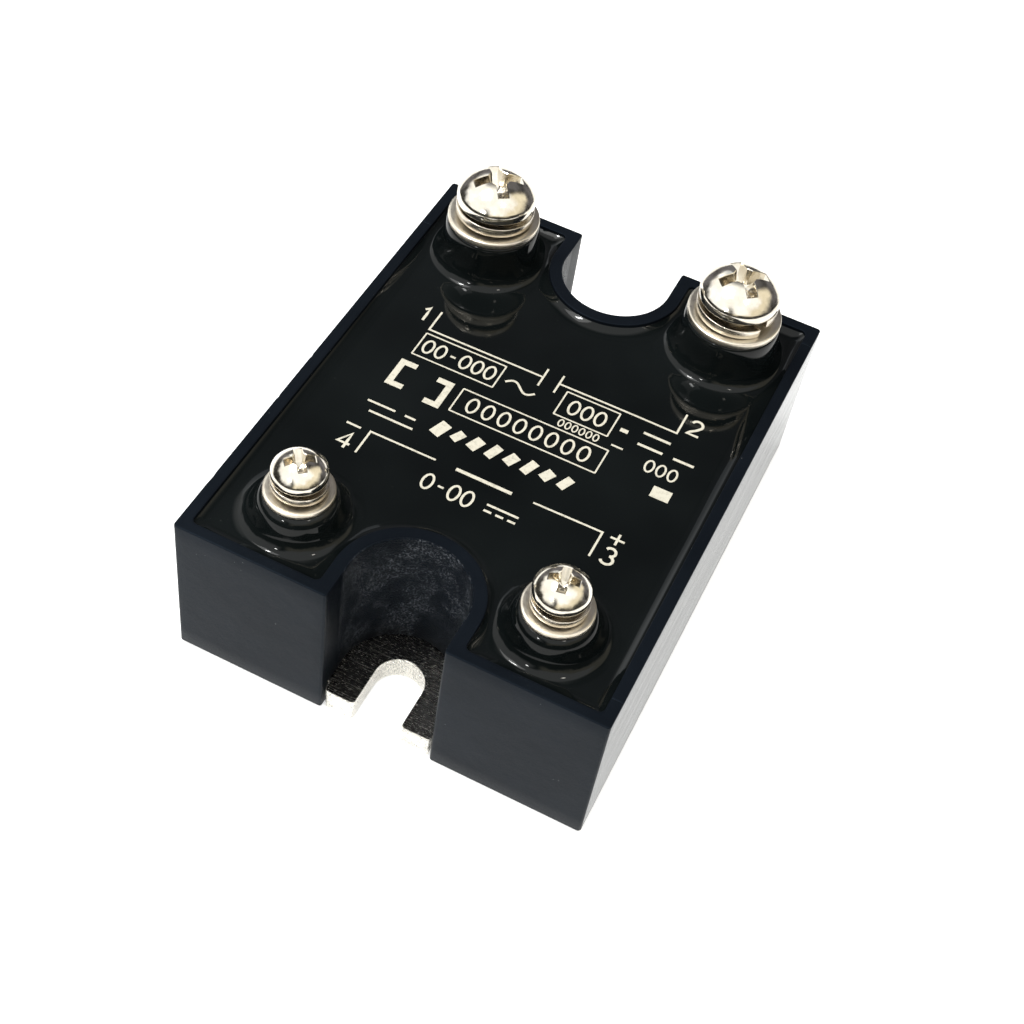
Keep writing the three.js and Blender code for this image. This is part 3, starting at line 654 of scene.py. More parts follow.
def build_resin():
    edge = full_outline("inner", 0.02)
    keep = [0]
    for i in range(1, len(edge)):
        if np.hypot(*(edge[i] - edge[keep[-1]])) > 0.02:
            keep.append(i)
    edge = edge[keep]
    # finer stations along the straight parts
    dense = []
    for a, b in zip(edge, np.roll(edge, -1, axis=0)):
        n = max(1, int(np.hypot(*(b - a)) / 0.55))
        for k in range(n):
            dense.append(a + (b - a) * k / n)
    edge = np.array(dense)
    pts, spacing = [], []
    cand = []
    for _, t, cx, cy, *_ in TERMINALS:
        r0 = t["boss"][0][0] + 0.12
        big = t is OUT
        radii = ([4.3, 4.6, 4.78, 4.88, 4.95, 5.01, 5.06, 5.10, 5.14, 5.19, 5.25, 5.31, 5.37, 5.43, 5.49, 5.55, 5.61,
                  5.68, 5.76, 5.86, 5.98, 6.12, 6.28, 6.46, 6.66, 6.9, 7.2] if big else
                 [3.0, 3.2, 3.32, 3.42, 3.50, 3.57, 3.64, 3.71, 3.79, 3.88, 3.98, 4.09, 4.2, 4.32, 4.44, 4.57, 4.7,
                  4.84, 4.99, 5.15, 5.33, 5.53, 5.75, 6.0, 6.3, 6.65])
        for k, r in enumerate(radii):
            n = 160 if big else 132
            a = (np.arange(n) + 0.5 * (k % 2)) * 2 * math.pi / n
            for x, y in zip(cx + r * np.cos(a), cy + r * np.sin(a)):
                cand.append((x, y, 0.030 if r < (5.7 if big else 4.9) else 0.09))
    for d, gap in ((0.05, 0.05), (0.11, 0.06), (0.18, 0.07), (0.26, 0.08), (0.36, 0.1), (0.47, 0.11), (0.59, 0.12),
                   (0.72, 0.13), (0.87, 0.14), (1.04, 0.16), (1.24, 0.18), (1.48, 0.2), (1.76, 0.22)):
        o = full_outline("inner", -d) if d < 0.58 else None
        if o is None:
            o = edge_offset(d)
        total = []
        for a, b in zip(o, np.roll(o, -1, axis=0)):
            n = max(1, int(np.hypot(*(b - a)) / 0.5))
            for k in range(n):
                total.append(a + (b - a) * k / n)
        for x, y in total:
            cand.append((x, y, gap))
    for j, y in enumerate(np.arange(-INY, INY, 0.62)):
        for x in np.arange(-INX + 0.36 * (j % 2), INX, 0.72):
            cand.append((x, y, 0.42))
    cells = {}
    chosen = []

    def far(x, y, gap):
        i, k = int(math.floor(x / 0.45)), int(math.floor(y / 0.45))
        for a in (i - 1, i, i + 1):
            for b in (k - 1, k, k + 1):
                for (px, py) in cells.get((a, b), ()):
                    if (px - x) ** 2 + (py - y) ** 2 < gap * gap:
                        return False
        return True

    def put(x, y):
        cells.setdefault((int(math.floor(x / 0.45)), int(math.floor(y / 0.45))), []).append((x, y))
        chosen.append((x, y))

    loops = [edge]
    for _, t, cx, cy, *_ in TERMINALS:
        n = 96
        a = np.arange(n) * 2 * math.pi / n
        r = t["insert_r"] + 0.01
        loops.append(np.c_[cx + r * np.cos(a), cy + r * np.sin(a)])
    edges = []
    for lp in loops:
        i0 = len(chosen)
        for x, y in lp:
            put(x, y)
        n = len(lp)
        edges += [(i0 + k, i0 + (k + 1) % n) for k in range(n)]
    n_loops = len(chosen)
    xy = np.array([(c[0], c[1]) for c in cand])
    inside = (abs(xy[:, 0]) < INX - 0.03) & (abs(xy[:, 1]) < INY - 0.03)
    for s in (1, -1):
        inside &= notch_distance(xy[:, 0], xy[:, 1], s) > 0.03
    for _, t, cx, cy, *_ in TERMINALS:
        inside &= np.hypot(xy[:, 0] - cx, xy[:, 1] - cy) > t["insert_r"] + 0.05
    for (x, y, gap), ok in zip(cand, inside):
        if ok and far(x, y, gap):
            put(x, y)
    out = delaunay_2d_cdt([Vector(c) for c in chosen], edges, [], 1, 1e-7, True)
    v2 = np.array([tuple(p) for p in out[0]])
    tri = np.array([tuple(f) for f in out[2] if len(f) == 3])
    mid = v2[tri].mean(axis=1)
    ok = np.ones(len(tri), bool)
    for _, t, cx, cy, *_ in TERMINALS:
        ok &= np.hypot(mid[:, 0] - cx, mid[:, 1] - cy) > t["insert_r"] - 0.02
    ok &= (abs(mid[:, 0]) < INX + 0.03) & (abs(mid[:, 1]) < INY + 0.03)
    for s in (1, -1):
        ok &= notch_distance(mid[:, 0], mid[:, 1], s) > -0.04
    tri = tri[ok]
    a, b, c = v2[tri[:, 0]], v2[tri[:, 1]], v2[tri[:, 2]]
    flip = ((b[:, 0] - a[:, 0]) * (c[:, 1] - a[:, 1]) - (b[:, 1] - a[:, 1]) * (c[:, 0] - a[:, 0])) < 0
    tri[flip] = tri[flip][:, ::-1]
    z = resin_height(v2[:, 0], v2[:, 1])
    e = 1e-3
    gx = (resin_height(v2[:, 0] + e, v2[:, 1]) - resin_height(v2[:, 0] - e, v2[:, 1])) / (2 * e)
    gy = (resin_height(v2[:, 0], v2[:, 1] + e) - resin_height(v2[:, 0], v2[:, 1] - e)) / (2 * e)
    nrm = np.c_[-gx, -gy, np.ones(len(gx))]
    nrm /= np.linalg.norm(nrm, axis=1)[:, None]
    verts = [tuple(p) for p in np.c_[v2, z]]
    faces = [tuple(t) for t in tri]
    normals = [tuple(n) for n in nrm]
    # close the body: outer skirt and floor, and a pocket round each insert
    used = {}
    for f in faces:
        for p, q in ((f[0], f[1]), (f[1], f[2]), (f[2], f[0])):
            used[(p, q)] = used.get((p, q), 0) + 1
    nxt = {p: q for (p, q) in used if (q, p) not in used}
    seen, rims = set(), []
    for s0 in list(nxt):
        if s0 in seen:
            continue
        loop, p = [], s0
        while p not in seen and p in nxt:
            seen.add(p)
            loop.append(p)
            p = nxt[p]
        rims.append(loop)
    for loop in rims:
        pts2 = v2[loop]
        outer = np.ptp(pts2[:, 0]) > 20
        if outer:
            zlow = RESIN_BOTTOM
        else:
            k = min(TERMINALS, key=lambda q: (q[2] - pts2[:, 0].mean()) ** 2 + (q[3] - pts2[:, 1].mean()) ** 2)
            zlow = box_mm(f"{k[1]['kind']}_insert_{k[0]}")[0][2] - 0.01
        i0 = len(verts)
        for (x, y) in pts2:
            verts.append((x, y, zlow))
            normals.append((0, 0, -1))
        n = len(loop)
        for i in range(n):
            j = (i + 1) % n
            faces.append((loop[j], loop[i], i0 + i, i0 + j))
        faces.append(tuple(i0 + i for i in (range(n - 1, -1, -1) if outer else range(n - 1, -1, -1))))
    me = bpy.data.meshes.new("potting_surface")
    me.from_pydata((np.array(verts) * MM).tolist(), [], [list(map(int, f)) for f in faces])
    me.validate()
    me.polygons.foreach_set("use_smooth", np.ones(len(me.polygons), bool))
    me.set_sharp_from_angle(angle=math.radians(60))
    me.update()
    me.materials.append(MATS["potting_epoxy"])
    split = np.zeros((len(me.loops), 3))
    li = 0
    for poly in me.polygons:
        top = poly.loop_total == 3
        for k in poly.loop_indices:
            vi = me.loops[k].vertex_index
            split[k] = normals[vi] if top else tuple(poly.normal)
    me.normals_split_custom_set([tuple(x) for x in split])
    ob = bpy.data.objects.new("potting_surface", me)
    bpy.context.scene.collection.objects.link(ob)
    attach(ob, "relay")
    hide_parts("potting_resin")
    return ob


def edge_offset(d):
    """The cavity's edge moved inwards by d, with sharp inner corners, for the wider offsets"""
    pts = []
    rn = CAP_R + d
    x1, y1 = INX - d, INY - d
    for a in np.linspace(math.pi / 2, 0, 41):
        pts.append((rn * math.cos(a), -NOTCH_Y + rn * math.sin(a)))
    for y in np.linspace(-NOTCH_Y, -y1, 4)[1:]:
        pts.append((rn, y))
    for x in np.linspace(rn, x1, 24)[1:]:
        pts.append((x, -y1))
    for y in np.linspace(-y1, 0, 48)[1:]:
        pts.append((x1, y))
    q = np.array(pts)
    right = np.vstack([q, (q * [1, -1])[::-1][1:]])
    return np.vstack([right, (right * [-1, 1])[::-1][1:-1]])


build_resin()

# ------------------------------------------------------------------ print on the resin


def slab(polys, name, lift=0.022, sink=0.03):
    """Thin printed pieces that follow the resin: each polygon gets a top just over the surface"""
    v, f = [], []
    for poly in polys:
        poly = np.asarray(poly, float)
        z = resin_height(poly[:, 0], poly[:, 1])
        i = len(v)
        n = len(poly)
        v += [tuple(p) for p in np.c_[poly, z + lift]]
        v += [tuple(p) for p in np.c_[poly, z - sink]]
        f.append(tuple(range(i, i + n)))
        f.append(tuple(range(i + 2 * n - 1, i + n - 1, -1)))
        for k in range(n):
            f.append((i + k, i + n + k, i + n + (k + 1) % n, i + (k + 1) % n))
    return add_mesh(name, v, f, MATS["print_ink"], sharp=40, closed=False)


def stroke(pts, w, closed=False, seg=0.9):
    """Quads along a line of width w, with mitred corners, one quad per short stretch"""
    p = np.asarray(pts, float)
    q = [p[0]]
    for a, b in zip(p, p[1:]):
        n = max(1, int(np.hypot(*(b - a)) / seg))
        q += [a + (b - a) * k / n for k in range(1, n + 1)]
    q = np.array(q)
    if closed:
        q = q[:-1]
    n = len(q)
    left, right = [], []
    for i in range(n):
        a = q[i - 1] if (i > 0 or closed) else None
        b = q[(i + 1) % n] if (i < n - 1 or closed) else None
        d1 = (q[i] - a) / np.hypot(*(q[i] - a)) if a is not None else None
        d2 = (b - q[i]) / np.hypot(*(b - q[i])) if b is not None else None
        if d1 is None:
            d1 = d2
        if d2 is None:
            d2 = d1
        n1, n2 = np.array([-d1[1], d1[0]]), np.array([-d2[1], d2[0]])
        m = n1 + n2
        m = m / np.hypot(*m)
        s = min(1.0 / max(0.35, float(m @ n1)), 1.6)
        left.append(q[i] + m * s * w / 2)
        right.append(q[i] - m * s * w / 2)
    return np.array(left), np.array(right), closed


def strokes_mesh(name, lines, lift=0.022, sink=0.03):
    """Many strokes as one printed piece, each a closed strip that follows the resin"""
    v, f = [], []
    for k, (pts, w, closed) in enumerate(lines):
        left, right, closed = stroke(pts, w, closed)
        n = len(left)
        i = len(v)
        up = lift + 0.0015 * (k % 4)
        for side, dz in ((left, up), (right, up), (right, -sink), (left, -sink)):
            z = resin_height(side[:, 0], side[:, 1])
            v += [tuple(p) for p in np.c_[side, z + dz]]
        for j in range(n if closed else n - 1):
            b = (j + 1) % n
            for r0, r1 in ((0, 1), (1, 2), (2, 3), (3, 0)):
                f.append((i + r0 * n + j, i + r0 * n + b, i + r1 * n + b, i + r1 * n + j))
        if not closed:
            f.append((i, i + n, i + 2 * n, i + 3 * n))
            f.append((i + n - 1, i + 4 * n - 1, i + 3 * n - 1, i + 2 * n - 1))
    return add_mesh(name, v, f, MATS["print_ink"], sharp=40)


def arc(cx, cy, rx, ry, a0, a1, n=14):
    a = np.radians(np.linspace(a0, a1, n))
    return [(cx + rx * math.cos(t), cy + ry * math.sin(t)) for t in a]


LW = 0.22
BW = 0.17


def numeral(ch, cx, cy, h, w=0.29):
    k = h / 2.0
    P = lambda pts: [(cx + x * k, cy + y * k) for x, y in pts]
    if ch == "1":
        return [(P([(-0.34, 0.52), (-0.02, 0.80), (0.08, 1.0), (0.08, -1.0)]), w, False)]
    if ch == "2":
        return [(P(arc(0, 0.42, 0.52, 0.52, 168, -20, 12) + [(0.10, -0.25), (-0.34, -0.62), (-0.55, -0.93),
                                                              (0.58, -0.93)]), w, False)]
    if ch == "3":
        return [(P(arc(-0.02, 0.47, 0.48, 0.47, 155, -80, 12)), w, False),
                (P(arc(-0.02, -0.44, 0.56, 0.50, 82, -158, 14)), w, False)]
    return [(P([(0.24, -1.0), (0.24, 0.92), (-0.60, -0.42), (0.62, -0.42)]), w, False)]


def greek(x0, x1, y, h, words, w):
    """plain bars that stand in for a line of lettering: words are relative lengths"""
    total = sum(words) + 0.34 * (len(words) - 1)
    s = (x1 - x0) / total
    out, x = [], x0
    for q in words:
        a, b = x, x + q * s
        out.append(([(a + w / 2, y), (b - w / 2, y)], w, False))
        x = b + 0.34 * s
    return out


def rounded(x0, x1, y0, y1, r=0.18, n=5):
    pts = []
    for cx, cy, a in ((x1 - r, y0 + r, 270), (x1 - r, y1 - r, 0), (x0 + r, y1 - r, 90), (x0 + r, y0 + r, 180)):
        pts += arc(cx, cy, r, r, a, a + 90, n)
    return pts


lines = []
# leader lines from the terminals to their ratings
lines += [([(-14.2, 10.4), (-14.2, 7.38), (-0.86, 7.40)], LW, False), ([(-0.86, 8.75), (-0.86, 6.03)], LW, False)]
lines += [([(0.98, 8.70), (0.98, 5.98)], LW, False), ([(0.98, 7.42), (14.22, 7.46), (14.22, 10.44)], LW, False)]
lines += [([(-12.55, -11.76), (-12.55, -8.57), (-5.27, -8.54)], LW, False)]
lines += [([(5.4, -8.47), (12.79, -8.40), (12.79, -11.72)], LW, False)]
strokes_mesh("print_leader_lines", lines)

boxes = [(rounded(-14.15, -4.80, 3.30, 6.75, 0.05, 2), BW, True), (rounded(2.19, 8.20, 3.29, 6.85, 0.05, 2), BW, True),
         (rounded(-7.2, 9.09, -1.85, 1.59, 0.05, 2), BW, True)]
boxes = [(list(b) + [b[0]], w, c) for b, w, c in boxes]
strokes_mesh("print_rating_boxes", boxes)

marks = numeral("1", -15.55, 9.3, 2.1) + numeral("2", 15.7, 9.1, 2.2) + numeral("3", 14.47, -10.8, 2.2) \
    + numeral("4", -14.2, -10.75, 2.2)
marks += [([(-15.22, -8.66), (-13.60, -8.68)], 0.25, False)]
marks += [([(13.70, -8.53), (15.18, -8.53)], 0.25, False), ([(14.44, -7.80), (14.44, -9.26)], 0.25, False)]
strokes_mesh("print_terminal_marks", marks)

def zeros(x0, pitch, y, h, text, w=0.25):
    """placeholder figures: 0 for a digit, - for a dash"""
    out = []
    for k, ch in enumerate(text):
        cx = x0 + k * pitch
        if ch == "0":
            ring = arc(cx, y, h * 0.27, h * 0.5, 90, 450, 21)
            out.append((ring, w, True))
        elif ch == "-":
            out.append(([(cx - 0.30 * h / 1.9, y), (cx + 0.30 * h / 1.9, y)], w, False))
    return out


bars = []
bars += zeros(-13.05, 1.43, 5.02, 1.9, "00-000")
bars += [([(-4.0 + 3.4 * k / 20, 4.75 + 0.55 * math.sin(2 * math.pi * k / 20)) for k in range(21)], 0.25, False)]
bars += zeros(3.72, 1.48, 5.07, 1.95, "000")
bars += greek(8.75, 10.1, 4.9, 1.9, (1.0,), 0.5)
bars += greek(11.1, 14.4, 5.75, 1.0, (1.0,), 0.32)
bars += greek(11.1, 17.6, 4.05, 1.0, (1.2, 1.0), 0.32)
bars += greek(8.9, 10.4, 2.50, 0.8, (1.0,), 0.22)
bars += zeros(3.4, 0.78, 2.50, 0.95, "000000", 0.15)
bars += zeros(13.5, 1.25, 1.85, 1.6, "000", 0.21)
bars += zeros(-5.35, 1.78, -0.12, 2.0, "00000000", 0.25)
bars += greek(-15.0, -9.3, -4.9, 0.9, (1.4, 0.6), 0.26)
bars += greek(-14.2, -9.0, -6.15, 0.9, (1.0,), 0.26)
bars += greek(-3.2, 3.3, -8.55, 1.5, (1.0,), 0.40)
bars += zeros(-4.7, 1.45, -11.4, 1.95, "0-00")
bars += [([(1.6, -11.0), (5.0, -11.0)], 0.26, False)]
bars += [([(1.6 + 1.28 * k, -11.8), (2.44 + 1.28 * k, -11.8)], 0.26, False) for k in range(3)]
bars += [([(-12.7, 1.75), (-14.3, 1.75), (-14.3, -1.55), (-12.7, -1.55)], 0.70, False),
         ([(-10.1, 1.35), (-8.6, 1.35), (-8.6, -1.95), (-10.1, -1.95)], 0.70, False)]
for k, (wide, tall) in enumerate(((1.25, 2.5), (0.95, 1.9), (1.15, 2.2), (0.95, 2.4), (1.1, 2.0), (0.95, 2.4),
                                  (1.1, 1.9), (0.95, 2.2))):
    bars.append(([(-7.1 + 1.98 * k, -4.6 - tall / 2 + 0.3), (-6.4 + 1.98 * k, -4.6 + tall / 2 - 0.3)], wide, False))
bars += [([(14.9, -1.0), (16.9, -1.0)], 1.5, False)]
strokes_mesh("print_rating_bars", bars)

# ------------------------------------------------------------------ terminals


def cross_outline(R, a, c, n=(3, 5, 4, 5, 3)):
    """Cross recess outline, one arm end centre first, 80 points: arm reach R, half width a, core c"""
    quad = [(R, 0.0), (R * 0.985, a), (c, a), (a, c), (a, R * 0.985), (0.0, R)]
    pts = []
    for k in range(4):
        co, si = math.cos(k * math.pi / 2), math.sin(k * math.pi / 2)
        for (p, q, m) in zip(quad, quad[1:], n):
            for i in range(m):
                x, y = p[0] + (q[0] - p[0]) * i / m, p[1] + (q[1] - p[1]) * i / m
                pts.append((co * x - si * y, si * x + co * y))
    return np.array(pts)


def build_screw(n, t, cx, cy, seat, turn):
    s = Shape()
    N = 80
    z0 = seat + t["washer_t"] + t["lock_h"]
    R, a, c = t["recess"], t["arm"] / 2, t["core"]
    hr, band, K = t["head_r"], t["band"], t["dome"]
    rise = K - band
    ball = (hr * hr + rise * rise) / (2 * rise)
    zc = z0 + K - ball
    dome = lambda r: zc + np.sqrt(np.maximum(ball ** 2 - np.asarray(r) ** 2, 0))
    ang = np.arange(N) * 2 * math.pi / N
    circ = lambda r: np.c_[r * np.cos(ang), r * np.sin(ang)]
    ring_ids = []
    top = float(dome(0))
    # recess floor, walls, broken edge
    floor_z = top - t["depth"]
    mid = s.point((0, 0, floor_z - 0.12 * R))
    f1 = cross_outline(R * 0.40, a * 0.74, c * 0.60)
    r1 = s.ring(np.c_[f1, np.full(N, floor_z)])
    s.fan(r1[::-1], mid)
    prev = r1
    rim = cross_outline(R, a, c)
    wide = cross_outline(R + 0.09, a + 0.055, c + 0.075)
    z_rim = dome(np.hypot(*rim.T)) - 0.075
    for k in (0.33, 0.66, 1.0):
        xy = f1 + (rim - f1) * k
        z = floor_z + (z_rim - floor_z) * k
        ids = s.ring(np.c_[xy, z])
        s.bridge(prev, ids)
        prev = ids
    ids = s.ring(np.c_[wide, dome(np.hypot(*wide.T))])
    s.bridge(prev, ids)
    prev = ids
    hold = hr * 0.70
    for k in (0.2, 0.45, 0.72, 1.0):
        xy = wide + (circ(hold) - wide) * k
        ids = s.ring(np.c_[xy, dome(np.hypot(*xy.T))])
        s.bridge(prev, ids)
        prev = ids
    zb = z0 + band
    prof = [(hr * q, float(dome(hr * q))) for q in (0.76, 0.82, 0.875, 0.92, 0.955)]
    e = 0.16 * hr / 4.25
    # rounded shoulder between dome and band
    q1 = hr - e * 1.6
    prof += [(q1, float(dome(q1))), (hr - e * 0.75, float(dome(hr - e * 0.75)) - 0.012), (hr - e * 0.25, zb - e * 0.15),
             (hr, zb - e * 0.9)]
    prof += [(hr, z0 + band * 0.5), (hr, z0 + 0.16), (hr - 0.03, z0 + 0.06), (hr - 0.12, z0 + 0.0)]
    prof += [(t["lock_bore"] + 0.3, z0), (t["root"] + 0.12, z0), (t["root"] + 0.02, z0 - 0.08)]
    for r, z in prof:
        ids = s.ring(np.c_[circ(r), np.full(N, z)])
        s.bridge(prev, ids)
        prev = ids
    # threaded shank
    p, m = t["pitch"], 8
    z_top, z_bot = z0 - 0.25, z0 - t["length"] + 0.3
    root, crest = t["root"], t["crest"]
    shape8 = [0, 0.0, 0.5, 1.0, 1.0, 1.0, 0.5, 0.0]
    top_ring = s.ring(np.c_[circ(root), np.full(N, z_top)])
    s.bridge(prev, top_ring)
    bot_ring = s.ring(np.c_[circ(root), np.full(N, z_bot)])
    J = int(m * ((z_top - z_bot) / p + 3)) + 2
    idx = np.zeros((N, J + 1), int)
    smooth = lambda u: max(0.0, min(1.0, u)) ** 2 * (3 - 2 * max(0.0, min(1.0, u)))
    for i in range(N):
        for j in range(J + 1):
            z = z_top + p + p * i / N - j * p / m
            if z >= z_top - 1e-6:
                idx[i, j] = top_ring[i]
            elif z <= z_bot + 1e-6:
                idx[i, j] = bot_ring[i]
            else:
                fade = smooth((z_top - z) / (0.6 * p)) * smooth((z - z_bot) / (1.0 * p))
                r = root + (crest - root) * shape8[j % m] * fade
                idx[i, j] = s.point((r * math.cos(ang[i]), r * math.sin(ang[i]), z))
    for i in range(N):
        for j in range(J):
            if i < N - 1:
                q = (idx[i, j], idx[i + 1, j], idx[i + 1, j + 1], idx[i, j + 1])
            else:
                if j < m:
                    continue
                q = (idx[i, j], idx[0, j - m], idx[0, j + 1 - m], idx[i, j + 1])
            u = []
            for w in q:
                if w not in u:
                    u.append(w)
            if len(u) >= 3:
                s.f.append(tuple(u))
    ids = s.ring(np.c_[circ(root - 0.28), np.full(N, z_bot - 0.3)])
    s.bridge(bot_ring, ids)
    s.fan(ids, s.point((0, 0, z_bot - 0.3)))
    v = np.array(s.v)
    th = math.radians(turn)
    rot = np.array([[math.cos(th), -math.sin(th), 0], [math.sin(th), math.cos(th), 0], [0, 0, 1]])
    v = v @ rot.T
    v[:, 0] += cx
    v[:, 1] += cy
    return add_mesh(f"terminal_{n}_screw_body", v, s.f, MATS["screw_nickel"], body=f"terminal_{n}_screw",
                    replaces=(f"{t['kind']}_screw_{n}",), origin=(cx, cy), sharp=27)


def build_flat_washer(n, t, cx, cy, seat):
    s = Shape()
    N = 112
    r1, r0, h = t["washer_r"], t["washer_bore"], t["washer_t"]
    # punched: round shoulder on one side, sharper edge below
    prof = [(r0, seat + 0.05), (r0, seat + h - 0.12), (r0 + 0.04, seat + h - 0.04), (r0 + 0.12, seat + h)]
    prof += [(r0 + (r1 - r0) * k, seat + h) for k in (0.3, 0.5, 0.7)]
    prof += [(r1 - 0.30, seat + h), (r1 - 0.16, seat + h - 0.025), (r1 - 0.06, seat + h - 0.09),
             (r1 - 0.012, seat + h - 0.19), (r1, seat + h - 0.3), (r1, seat + 0.1), (r1 - 0.025, seat + 0.03),
             (r1 - 0.07, seat), (r1 - 0.6, seat), (r0 + 0.5, seat), (r0 + 0.05, seat)]
    ids = []
    for r, z in prof:
        c = circle(r, z, N)
        ids.append(s.ring(c))
    for p, q in zip(ids, ids[1:] + ids[:1]):
        s.bridge(p, q)
    v = np.array(s.v) + [cx, cy, 0]
    return add_mesh(f"terminal_{n}_flat_washer", v, s.f, MATS["washer_nickel"], body=f"terminal_{n}_washers",
                    replaces=(f"{t['kind']}_flat_washer_{n}",), origin=(cx, cy), sharp=30)


def build_lock_washer(n, t, cx, cy, seat, split):
    s = Shape()
    z_lo = seat + t["washer_t"]
    r1, r0, h, free = t["lock_r"], t["lock_bore"], t["lock_t"], t["lock_h"]
    steps, gap = 132, 9.0
    e = 0.075 if t is OUT else 0.06
    ring = []
    # section: square bar, corners rounded
    for (cxr, czr, a0) in ((r1 - e, h - e, 0), (r0 + e, h - e, 90), (r0 + e, e, 180), (r1 - e, e, 270)):
        for a in np.radians(np.linspace(a0, a0 + 90, 4)):
            ring.append((cxr + e * math.cos(a), czr + e * math.sin(a)))
    ring = np.array(ring)
    ids = []
    for k in range(steps + 1):
        u = k / steps
        a = math.radians(split + gap / 2 + u * (360 - gap))
        z = z_lo + (1 - u) * (free - h)
        sec = ring.copy()
        if k in (0, steps):  # sheared ends: slightly smaller
            mid = sec.mean(axis=0)
            sec = mid + (sec - mid) * 0.93
        ids.append(s.ring(np.c_[sec[:, 0] * math.cos(a), sec[:, 0] * math.sin(a), z + sec[:, 1]]))
    for p, q in zip(ids, ids[1:]):
        s.bridge(p, q)
    s.f.append(tuple(ids[0]))
    s.f.append(tuple(ids[-1]))
    v = np.array(s.v) + [cx, cy, 0]
    return add_mesh(f"terminal_{n}_lock_washer", v, s.f, MATS["lock_washer_nickel"], body=f"terminal_{n}_washers",
                    replaces=(f"{t['kind']}_lock_washer_{n}",), origin=(cx, cy), sharp=38)


def build_insert(n, t, cx, cy):
    s = Shape()
    N = 72
    lo, hi = box_mm(f"{t['kind']}_insert_{n}")
    zb, zt = lo[2], hi[2]
    R, b = t["insert_r"], t["insert_bore"]
    floor = zb + (1.6 if t is OUT else 1.4)
    prof = [(b - 0.25, floor), (b, floor + 0.25)]
    p = t["pitch"]
    z = floor + 0.5
    while z < zt - 0.5 - p:
        prof += [(b, z), (b + 0.12, z + 0.3 * p), (b + 0.12, z + 0.5 * p), (b, z + 0.8 * p)]
        z += p
    prof += [(b, zt - 0.3), (b + 0.28, zt - 0.02), (b + 0.34, zt), (R - 0.12, zt), (R - 0.03, zt - 0.04), (R, zt - 0.12),
             (R, zt - 1.6), (R - 0.3, zt - 1.8), (R - 0.3, zt - 2.6), (R, zt - 2.8), (R, zb + 0.2), (R - 0.2, zb)]
    ids = [s.ring(circle(r, z, N)) for r, z in prof]
    for p1, q in zip(ids, ids[1:]):
        s.bridge(p1, q)
    s.fan(ids[0], s.point((0, 0, floor - 0.6)))
    s.fan(ids[-1], s.point((0, 0, zb)))
    v = np.array(s.v) + [cx, cy, 0]
    return add_mesh(f"terminal_{n}_insert", v, s.f, MATS["insert_brass"],
                    replaces=(f"{t['kind']}_insert_{n}",), origin=(cx, cy), sharp=30)


for n, t, cx, cy, seat, turn, split in TERMINALS:
    build_screw(n, t, cx, cy, seat, turn)
    build_flat_washer(n, t, cx, cy, seat)
    build_lock_washer(n, t, cx, cy, seat, split)
    build_insert(n, t, cx, cy)

# ------------------------------------------------------------------ inner pieces kept from the CAD

node_slot = {}
for m in frame["record"].get("materials", []):
    for nd in m.get("nodes", []):
        node_slot[nd] = m["slot"]
for name, ob in frame["nodes"].items():
    if ob.hide_render:
        continue
    which = node_slot.get(name, "component_body")
    mat = MATS.get(which) or MATS["component_body"]
    ob.data.materials.clear()
    ob.data.materials.append(mat)
    if name != "silicone_gel":
        bev = ob.modifiers.new("edge", "BEVEL")
        bev.width = 0.00006
        bev.segments = 2
        bev.limit_method = "ANGLE"
        bev.angle_limit = math.radians(40)

# ------------------------------------------------------------------ floor, light, camera


def floor_piece():
    me = bpy.data.meshes.new("studio_floor")
    r, n = 2.5, 64
    v = [(0, 0, 0)] + [(r * math.cos(2 * math.pi * k / n), r * math.sin(2 * math.pi * k / n), 0) for k in range(n)]
    me.from_pydata(v, [], [(0, k + 1, (k + 1) % n + 1) for k in range(n)])
    ob = bpy.data.objects.new("studio_floor", me)
    ob.location = (0, 0, -0.00002)
    bpy.context.scene.collection.objects.link(ob)
    m = Mat("floor_pale").set(Specular_IOR_Level=0.1, Roughness=0.9, Emission_Strength=0.55)
    m.b.inputs["Emission Color"].default_value = (0.98, 0.99, 1.0, 1.0)
    m.to("Base Color", m.mix(m.noise(0.004, 2), (0.90, 0.90, 0.90), (0.93, 0.93, 0.93)))
    me.materials.append(m.m)
    return ob


floor_piece()


def area(name, direction, dist, size, radiance, colour=(1, 1, 1), size_y=None, glossy=True):
    """A soft box over the relay, set by the radiance of its face"""
    size_y = size_y or size
    L = bpy.data.lights.new(name, "AREA")
    L.energy = radiance * math.pi * size * size_y
    L.color = colour
    L.shape = "RECTANGLE"
    L.size = size
    L.size_y = size_y
    ob = bpy.data.objects.new(name, L)
    d = Vector(direction).normalized()
    ob.location = Vector((0, 0, 0.02)) + d * dist
    ob.rotation_euler = (-d).to_track_quat("-Z", "Y").to_euler()
    ob.visible_glossy = glossy
    bpy.context.scene.collection.objects.link(ob)
    return ob


area("key_left", (-0.36, -0.14, 0.92), 0.50, 0.20, 5.0, (1.0, 0.998, 0.985), 0.15)
area("key_core", (-0.34, -0.14, 0.92), 0.48, 0.070, 105.0, (1.0, 0.998, 0.985), 0.024)
area("glint_right", (0.40, -0.22, 0.89), 0.52, 0.030, 40.0, (1.0, 0.95, 0.85))
area("spark_front", (-0.20, -0.76, 0.62), 0.50, 0.034, 80.0, (1.0, 1.0, 0.98))
area("back_left", (-0.60, 0.62, 0.50), 0.60, 0.22, 0.8, (0.90, 0.96, 1.0), 0.16)

world = bpy.data.worlds.new("studio")
bpy.context.scene.world = world
world.use_nodes = True
wt = world.node_tree
bg = wt.nodes["Background"]
tc = wt.nodes.new("ShaderNodeTexCoord")
sep = wt.nodes.new("ShaderNodeSeparateXYZ")
wt.links.new(tc.outputs["Generated"], sep.inputs[0])


